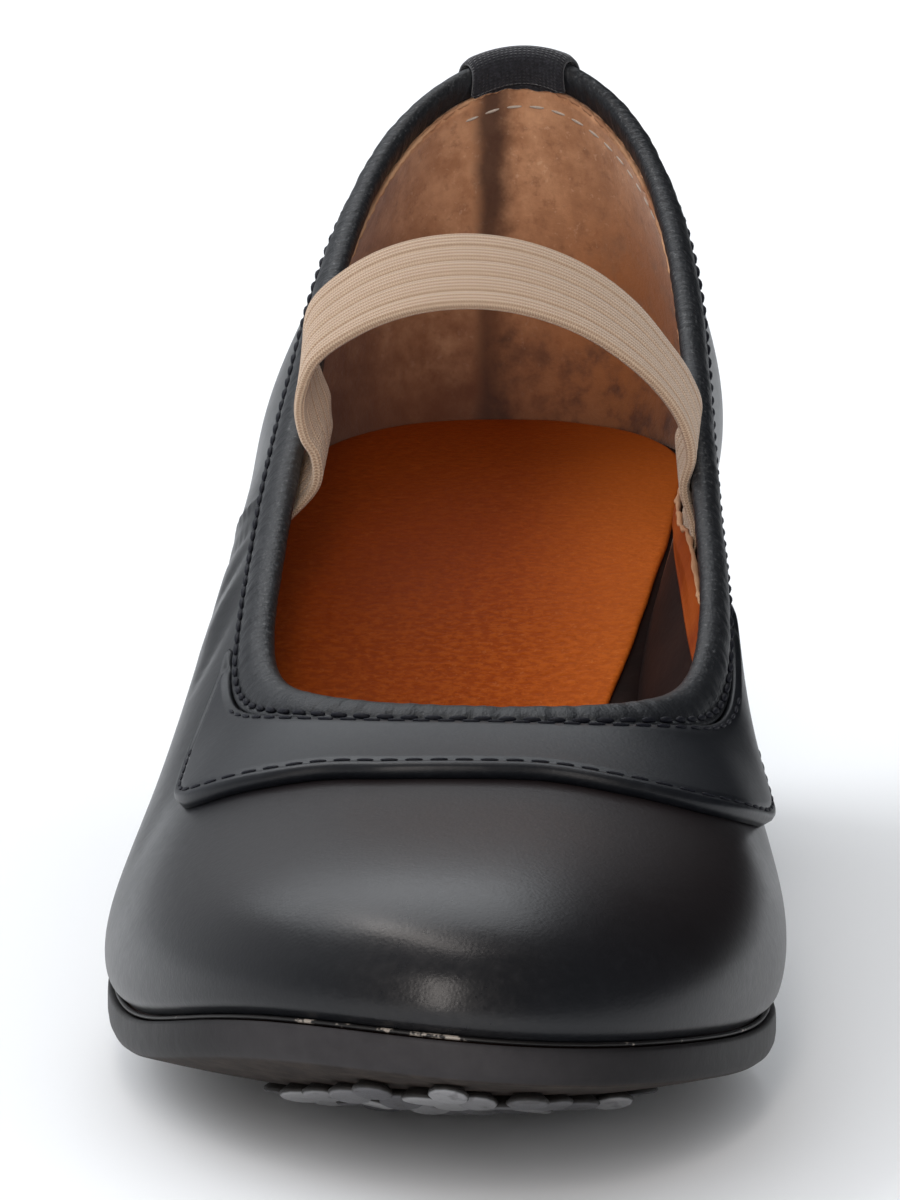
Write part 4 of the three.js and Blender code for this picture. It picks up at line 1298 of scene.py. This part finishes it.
# %% Plates
def foot_outline(margin):
    """The foot line moved out by a margin, by the share of the loop that has been run."""
    def place(share, inset):
        rib = np.asarray(share) * LOOP
        return foot_point(rib) + outward(foot_point, rib) * (margin - inset)
    return place


def plate(name, outline, top, bottom, rim, material, rows, columns):
    """Two skins of cross rows and a rim of rings between them: rim lists inset and height share."""
    points, rings = [], []
    shares = np.arange(rows + 1) / rows / 2
    around = np.concatenate([shares, 1 - shares[1:-1][::-1]])
    for inset, height in rim:
        ring = outline(around, inset)
        x, y = ring[:, 0], ring[:, 1]
        start = len(points)
        points.extend(np.stack([x, y, bottom(x, y) + (top(x, y) - bottom(x, y)) * height], -1))
        rings.append(np.arange(start, start + len(around)))
    faces = []
    for upper_ring, lower_ring in zip(rings, rings[1:]):
        for i in range(len(around)):
            k = (i + 1) % len(around)
            faces.append([upper_ring[i], lower_ring[i], lower_ring[k], upper_ring[k]])
    for ring, height_at, turned in ((rings[0], top, False), (rings[-1], bottom, True)):
        grid = []
        for i in range(rows + 1):
            if i in (0, rows):
                grid.append([ring[i]] * (columns + 1))
                continue
            left, right = ring[i], ring[-i]
            inner = []
            for share in np.arange(1, columns) / columns:
                place = points[left] * (1 - share) + points[right] * share
                inner.append(len(points))
                points.append(np.array([place[0], place[1], height_at(place[0], place[1])]))
            grid.append([left, *inner, right])
        for before, after in zip(grid, grid[1:]):
            for j in range(columns):
                corners = [before[j], after[j], after[j + 1], before[j + 1]]
                corners = [c for k, c in enumerate(corners) if c != corners[k - 1]]
                if len(corners) > 2:
                    faces.append(corners[::-1] if turned else corners)
    return add_piece(name, points, [[int(c) for c in face] for face in faces], material)


def insole_top(x, y):
    return sole_top(x, y) + CLEARANCE + INSOLE_THICKNESS


def over_sole(height):
    """A surface at an even height over the sole."""
    return lambda x, y: sole_top(x, y) + height


# Rib, and how far the insole stays inside the foot line there
INSOLE_INSET = np.array([
    [0, 0], [4, 0], [9.3, 0.6], [9.7, 1.8], [11.5, 1.8], [12.0, 0.3], [12.4, 0.1], [12.64, 0.7],
    [12.78, 1.6], [12.95, 3.1], [13.3, 4.8], [13.9, 6.0], [14.8, 5.2], [16.2, 2.0], [18, 0],
])


def insole_outline(share, inset):
    ribs = np.asarray(share) * LOOP
    inward = np.interp(ribs, *INSOLE_INSET.T)
    return foot_point(ribs) - outward(foot_point, ribs) * (WALL + CLEARANCE + inward + inset)[..., None]


# %% [markdown]
# ## Insole, board and outsole
# The insole covers the lasting board, whose edge shows where the insole is cut away from the arch
# side. The glue line is the dark gap in which the upper turns under, and it hides the seam with the
# outsole.

# %% Insole, board and outsole
INSOLE_BOTTOM = 1.2
BOARD_TOP = 1.25
BOARD_BOTTOM = 0.05
# Rims from the top down: how far inside the outline, and the share of the height
INSOLE_RIM = [(0.9, 1.0), (0.35, 0.97), (0.06, 0.82), (0.0, 0.5), (0.2, 0.0)]
BOARD_RIM = [(0.1, 1.0), (0.0, 0.5), (0.1, 0.0)]
SOLE_RIM = [(1.4, 1.0), (0.45, 1.0), (0.16, 0.96), (0.04, 0.86), (0.0, 0.70), (0.0, 0.36), (0.12, 0.18),
            (0.42, 0.05), (0.9, 0.0), (1.6, 0.0)]
GLUE_INSIDE = 0.55
GLUE_HALF_WIDTH = 0.34
GLUE_HALF_HEIGHT = 0.26

insole = plate("insole_leather", insole_outline, insole_top, over_sole(INSOLE_BOTTOM), INSOLE_RIM,
               insole_skin, rows=150, columns=16)
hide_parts("insole")
plate("lasting_board", foot_outline(-WALL * 0.6), over_sole(BOARD_TOP), over_sole(BOARD_BOTTOM), BOARD_RIM,
      vamp_lining_skin, rows=100, columns=8)
outsole = plate("outsole_leather", foot_outline(SOLE_MARGIN), sole_top, underside_height, SOLE_RIM,
                sole_skin, rows=220, columns=20)
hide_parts("outsole")

glue_ribs = np.linspace(0, LOOP, 500, endpoint=False)
glue_out = outward(foot_point, glue_ribs)
glue_centre = foot_point(glue_ribs) - glue_out * GLUE_INSIDE
glue_sections = np.stack([
    glue_centre + glue_out * np.cos(a) * GLUE_HALF_WIDTH + np.array([0, 0, np.sin(a) * GLUE_HALF_HEIGHT])
    for a in np.linspace(0, 2 * np.pi, 8, endpoint=False)
], 1)
sweep("glue_line", glue_sections, glue, ring=True)

# %% [markdown]
# ## Nails
# The forepart carries rows of flat nail heads, hammered in so close that they nearly touch. They
# repeat, so Geometry Nodes set one head on every place of a staggered field, turned to face the floor,
# and give each its own turn, tilt and brightness from a fixed seed. The heads under the ball are worn
# to one level, which is the flat that the shoe stands on.

# %% Nail heads
NAIL_FIELD_LENGTH = 84
NAIL_FIELD_WIDTH = 42
NAIL_FIELD_INWARD = 3
NAIL_FIELD_MIDDLE = 0.21
NAIL_FIELD_EDGE = 1.2
NAIL_FIELD_SQUARENESS = 2.5
NAIL_ROW_PITCH = 5.0
NAIL_PITCH = 5.7
NAIL_ERROR = 0.22
HEAD_RADIUS = 2.45
HEAD_LEAN = 0.17
HEAD_TILT = 0.15
HEAD_SIDES = 12
# Radius as a share, height in millimetres, and how much painted shade darkens the rim there
HEAD_RINGS = [
    (0, 1.46, 0), (0.80, 1.45, 0), (0.92, 1.34, 0.3), (1.0, 1.10, 0.9), (0.97, 0.80, 1), (0.62, 0, 1),
]


def head_mesh():
    """One nail head, face up: a flat face with a rounded rim that carries painted shade, in metres."""
    points, rims, faces = [], [], []
    for radius, height, rim in HEAD_RINGS:
        for k in range(HEAD_SIDES if radius else 1):
            angle = 2 * np.pi * k / HEAD_SIDES
            x, y = radius * HEAD_RADIUS * np.cos(angle), radius * HEAD_RADIUS * np.sin(angle)
            points.append((x, y, height))
            rims.append(rim)
    for k in range(HEAD_SIDES):
        a, b = 1 + k, 1 + (k + 1) % HEAD_SIDES
        faces.append((0, a, b))
        for down in range(0, len(points) - 1 - HEAD_SIDES, HEAD_SIDES):
            faces.append((a + down, a + down + HEAD_SIDES, b + down + HEAD_SIDES, b + down))
    faces.append(tuple(range(len(points) - HEAD_SIDES, len(points)))[::-1])
    mesh = bpy.data.meshes.new("nail_head_pattern")
    mesh.from_pydata([(x * MM, y * MM, z * MM) for x, y, z in points], [], faces)
    mesh.attributes.new("head_rim_shade", "FLOAT", "POINT").data.foreach_set("value", rims)
    return in_scene("nail_head_pattern", mesh)


def nail_tree():
    nodes = Nodes("nail_field", Head="Object", Steel="Material", Tilt="Float", Seed="Int")
    given = nodes.given
    head = nodes.add("GeometryNodeObjectInfo", inputs={"Object": given["Head"]}, output="Geometry")
    turn = nodes.add("FunctionNodeAlignRotationToVector", {"axis": "Z"}, {"Vector": nodes.facing()})
    other_way = nodes.add("ShaderNodeMath", {"operation": "MULTIPLY"}, {0: given["Tilt"], 1: -1.0})
    index = nodes.add("GeometryNodeInputIndex")
    tilt = nodes.chance(Min=other_way, Max=given["Tilt"], ID=index, Seed=given["Seed"])
    turn = nodes.askew(turn, X=tilt, Y=tilt, Z=nodes.chance(Max=6.28, Seed=3))
    size = nodes.chance(Min=0.93, Max=1.06, Seed=8)
    field = nodes.add("GeometryNodeInstanceOnPoints",
                      inputs={"Points": given["Geometry"], "Instance": head, "Rotation": turn, "Scale": size})
    toned = nodes.add("GeometryNodeStoreNamedAttribute", {"data_type": "FLOAT", "domain": "INSTANCE"},
                      {"Geometry": field, "Name": "head_tone", "Value": nodes.chance(Seed=12)})
    return nodes.end(toned, given["Steel"])


def nail_places():
    """Staggered rows inside the rounded field, with small fixed errors."""
    chance = np.random.default_rng(7)
    places = []
    rows = int(NAIL_FIELD_LENGTH / NAIL_ROW_PITCH)
    half_width, half_length = NAIL_FIELD_WIDTH / 2 - 1, NAIL_FIELD_LENGTH / 2 - 1
    for i in range(rows + 1):
        y = -NAIL_FIELD_LENGTH / 2 + NAIL_FIELD_EDGE + i * (NAIL_FIELD_LENGTH - 2 * NAIL_FIELD_EDGE) / rows
        for j in range(-5, 6):
            x = (j + 0.5 * (i % 2)) * NAIL_PITCH
            if sum(np.abs([x / half_width, y / half_length]) ** NAIL_FIELD_SQUARENESS) < 1:
                error_x, error_y = chance.normal(0, NAIL_ERROR, 2)
                places.append([x + error_x + NAIL_FIELD_INWARD, y + error_y])
    x, y = np.array(places).T
    y = y + lengthwise(NAIL_FIELD_MIDDLE)
    slope_x = underside_height(x + 0.5, y) - underside_height(x - 0.5, y)
    slope_y = underside_height(x, y + 0.5) - underside_height(x, y - 0.5)
    face = unit(np.stack([slope_x, slope_y - HEAD_LEAN, -np.ones_like(x)], -1))
    return np.stack([x, y, underside_height(x, y)], -1), face


head_places, head_faces = nail_places()
nails = points_piece("nail_heads", head_places, [], face=head_faces)
pattern = head_mesh()
add_nodes(nails, nail_tree(), Head=pattern, Steel=steel, Tilt=HEAD_TILT, Seed=2)
bpy.data.objects.remove(pattern)
for vertex in nails.data.vertices:
    vertex.co.z = max(vertex.co.z, 0.0)
finished(nails)
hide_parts("toe_nails")
print(len(head_places), "nail heads")

# %% [markdown]
# ## Heel
# The photograph hides the heel, so it is the usual block of such a shoe, covered in the same leather,
# with a flat rubber top piece. The block is a sweep down a table of widths and lengths. A Bevel
# modifier eases the edges of its straight front face, and is applied.

# %% Heel block and top piece
TOP_PIECE_HEIGHT = 6
HEEL_INSET = 0.6
HEEL_BREAST = 0.73
HEEL_AROUND = 110
BREAST_POINTS = 12
SHARP_ANGLE = 50
TOP_PIECE_HALF_WIDTH = 22
TOP_PIECE_LENGTH = 45
# The top piece from the top down: how far inside the outline, and the height
TOP_PIECE_RIM = [(0.25, 6.0), (0.0, 5.8), (0.0, 0.35), (0.35, 0.0)]
# Columns: way down the heel, then width and length as shares of the seat
HEEL_TAPER = [
    [0.00, 1.000, 1.000], [0.15, 0.955, 0.972], [0.35, 0.905, 0.940], [0.60, 0.860, 0.905],
    [0.82, 0.835, 0.885], [1.00, 0.830, 0.875],
]


def rib_where(share, start, end):
    """The rib between two others whose foot lies at a given share of the length."""
    low, high = start, end
    for _ in range(30):
        middle = (low + high) / 2
        if rib_at(middle)[1] < share:
            low = middle
        else:
            high = middle
    return low


def heel_ring(wide, long, down):
    breast = lengthwise(HEEL_BREAST)
    middle = rib_at(BACK_RIB)[0] * BALL_WIDTH
    ribs = np.linspace(rib_where(HEEL_BREAST, 0, BACK_RIB), rib_where(HEEL_BREAST, LOOP, BACK_RIB),
                       HEEL_AROUND)
    seat = foot_outline(SOLE_MARGIN - HEEL_INSET)(ribs / LOOP, 0)
    x = middle + (seat[:, 0] - middle) * wide
    y = breast + (seat[:, 1] - breast) * long
    seat_height = underside_height(seat[:, 0], seat[:, 1]) - 0.05
    foot = TOP_PIECE_HEIGHT + 0.05
    ring = np.stack([x, y, seat_height + (foot - seat_height) * down], -1)
    share = np.linspace(0, 1, BREAST_POINTS + 2)[1:-1, None]
    return np.concatenate([ring, ring[-1] + (ring[0] - ring[-1]) * share])


def ease_edges(made, width, angle=35):
    bevel = made.modifiers.new("eased_edges", "BEVEL")
    bevel.width = width * MM
    bevel.segments = 3
    bevel.angle_limit = np.radians(angle)
    plain(made)
    made.data.shade_smooth()
    made.data.set_sharp_from_angle(angle=np.radians(SHARP_ANGLE))


downs = np.linspace(0, 1, 26)
way_down, *shares_of_seat = np.array(HEEL_TAPER).T
wides, longs = (moving_mean(np.interp(downs, way_down, share), 5) for share in shares_of_seat)
heel_sections = [heel_ring(*row) for row in zip(wides, longs, downs)]
heel = sweep("heel_block_cover", heel_sections, heel_leather)
ease_edges(heel, 0.5)
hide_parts("heel_block")

_, wide, long = HEEL_TAPER[-1]
top_piece_sections = []
for inset, height in TOP_PIECE_RIM:
    ring = heel_ring(wide - inset / TOP_PIECE_HALF_WIDTH, long - inset / TOP_PIECE_LENGTH, 1)
    ring[:, 2] = height
    top_piece_sections.append(ring)
top_piece = sweep("heel_top_piece_rubber", top_piece_sections, rubber)
top_piece.data.set_sharp_from_angle(angle=np.radians(SHARP_ANGLE))
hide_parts("heel_top_piece")

# %% [markdown]
# ## The end

# %% The end of the script
print("end of the script")
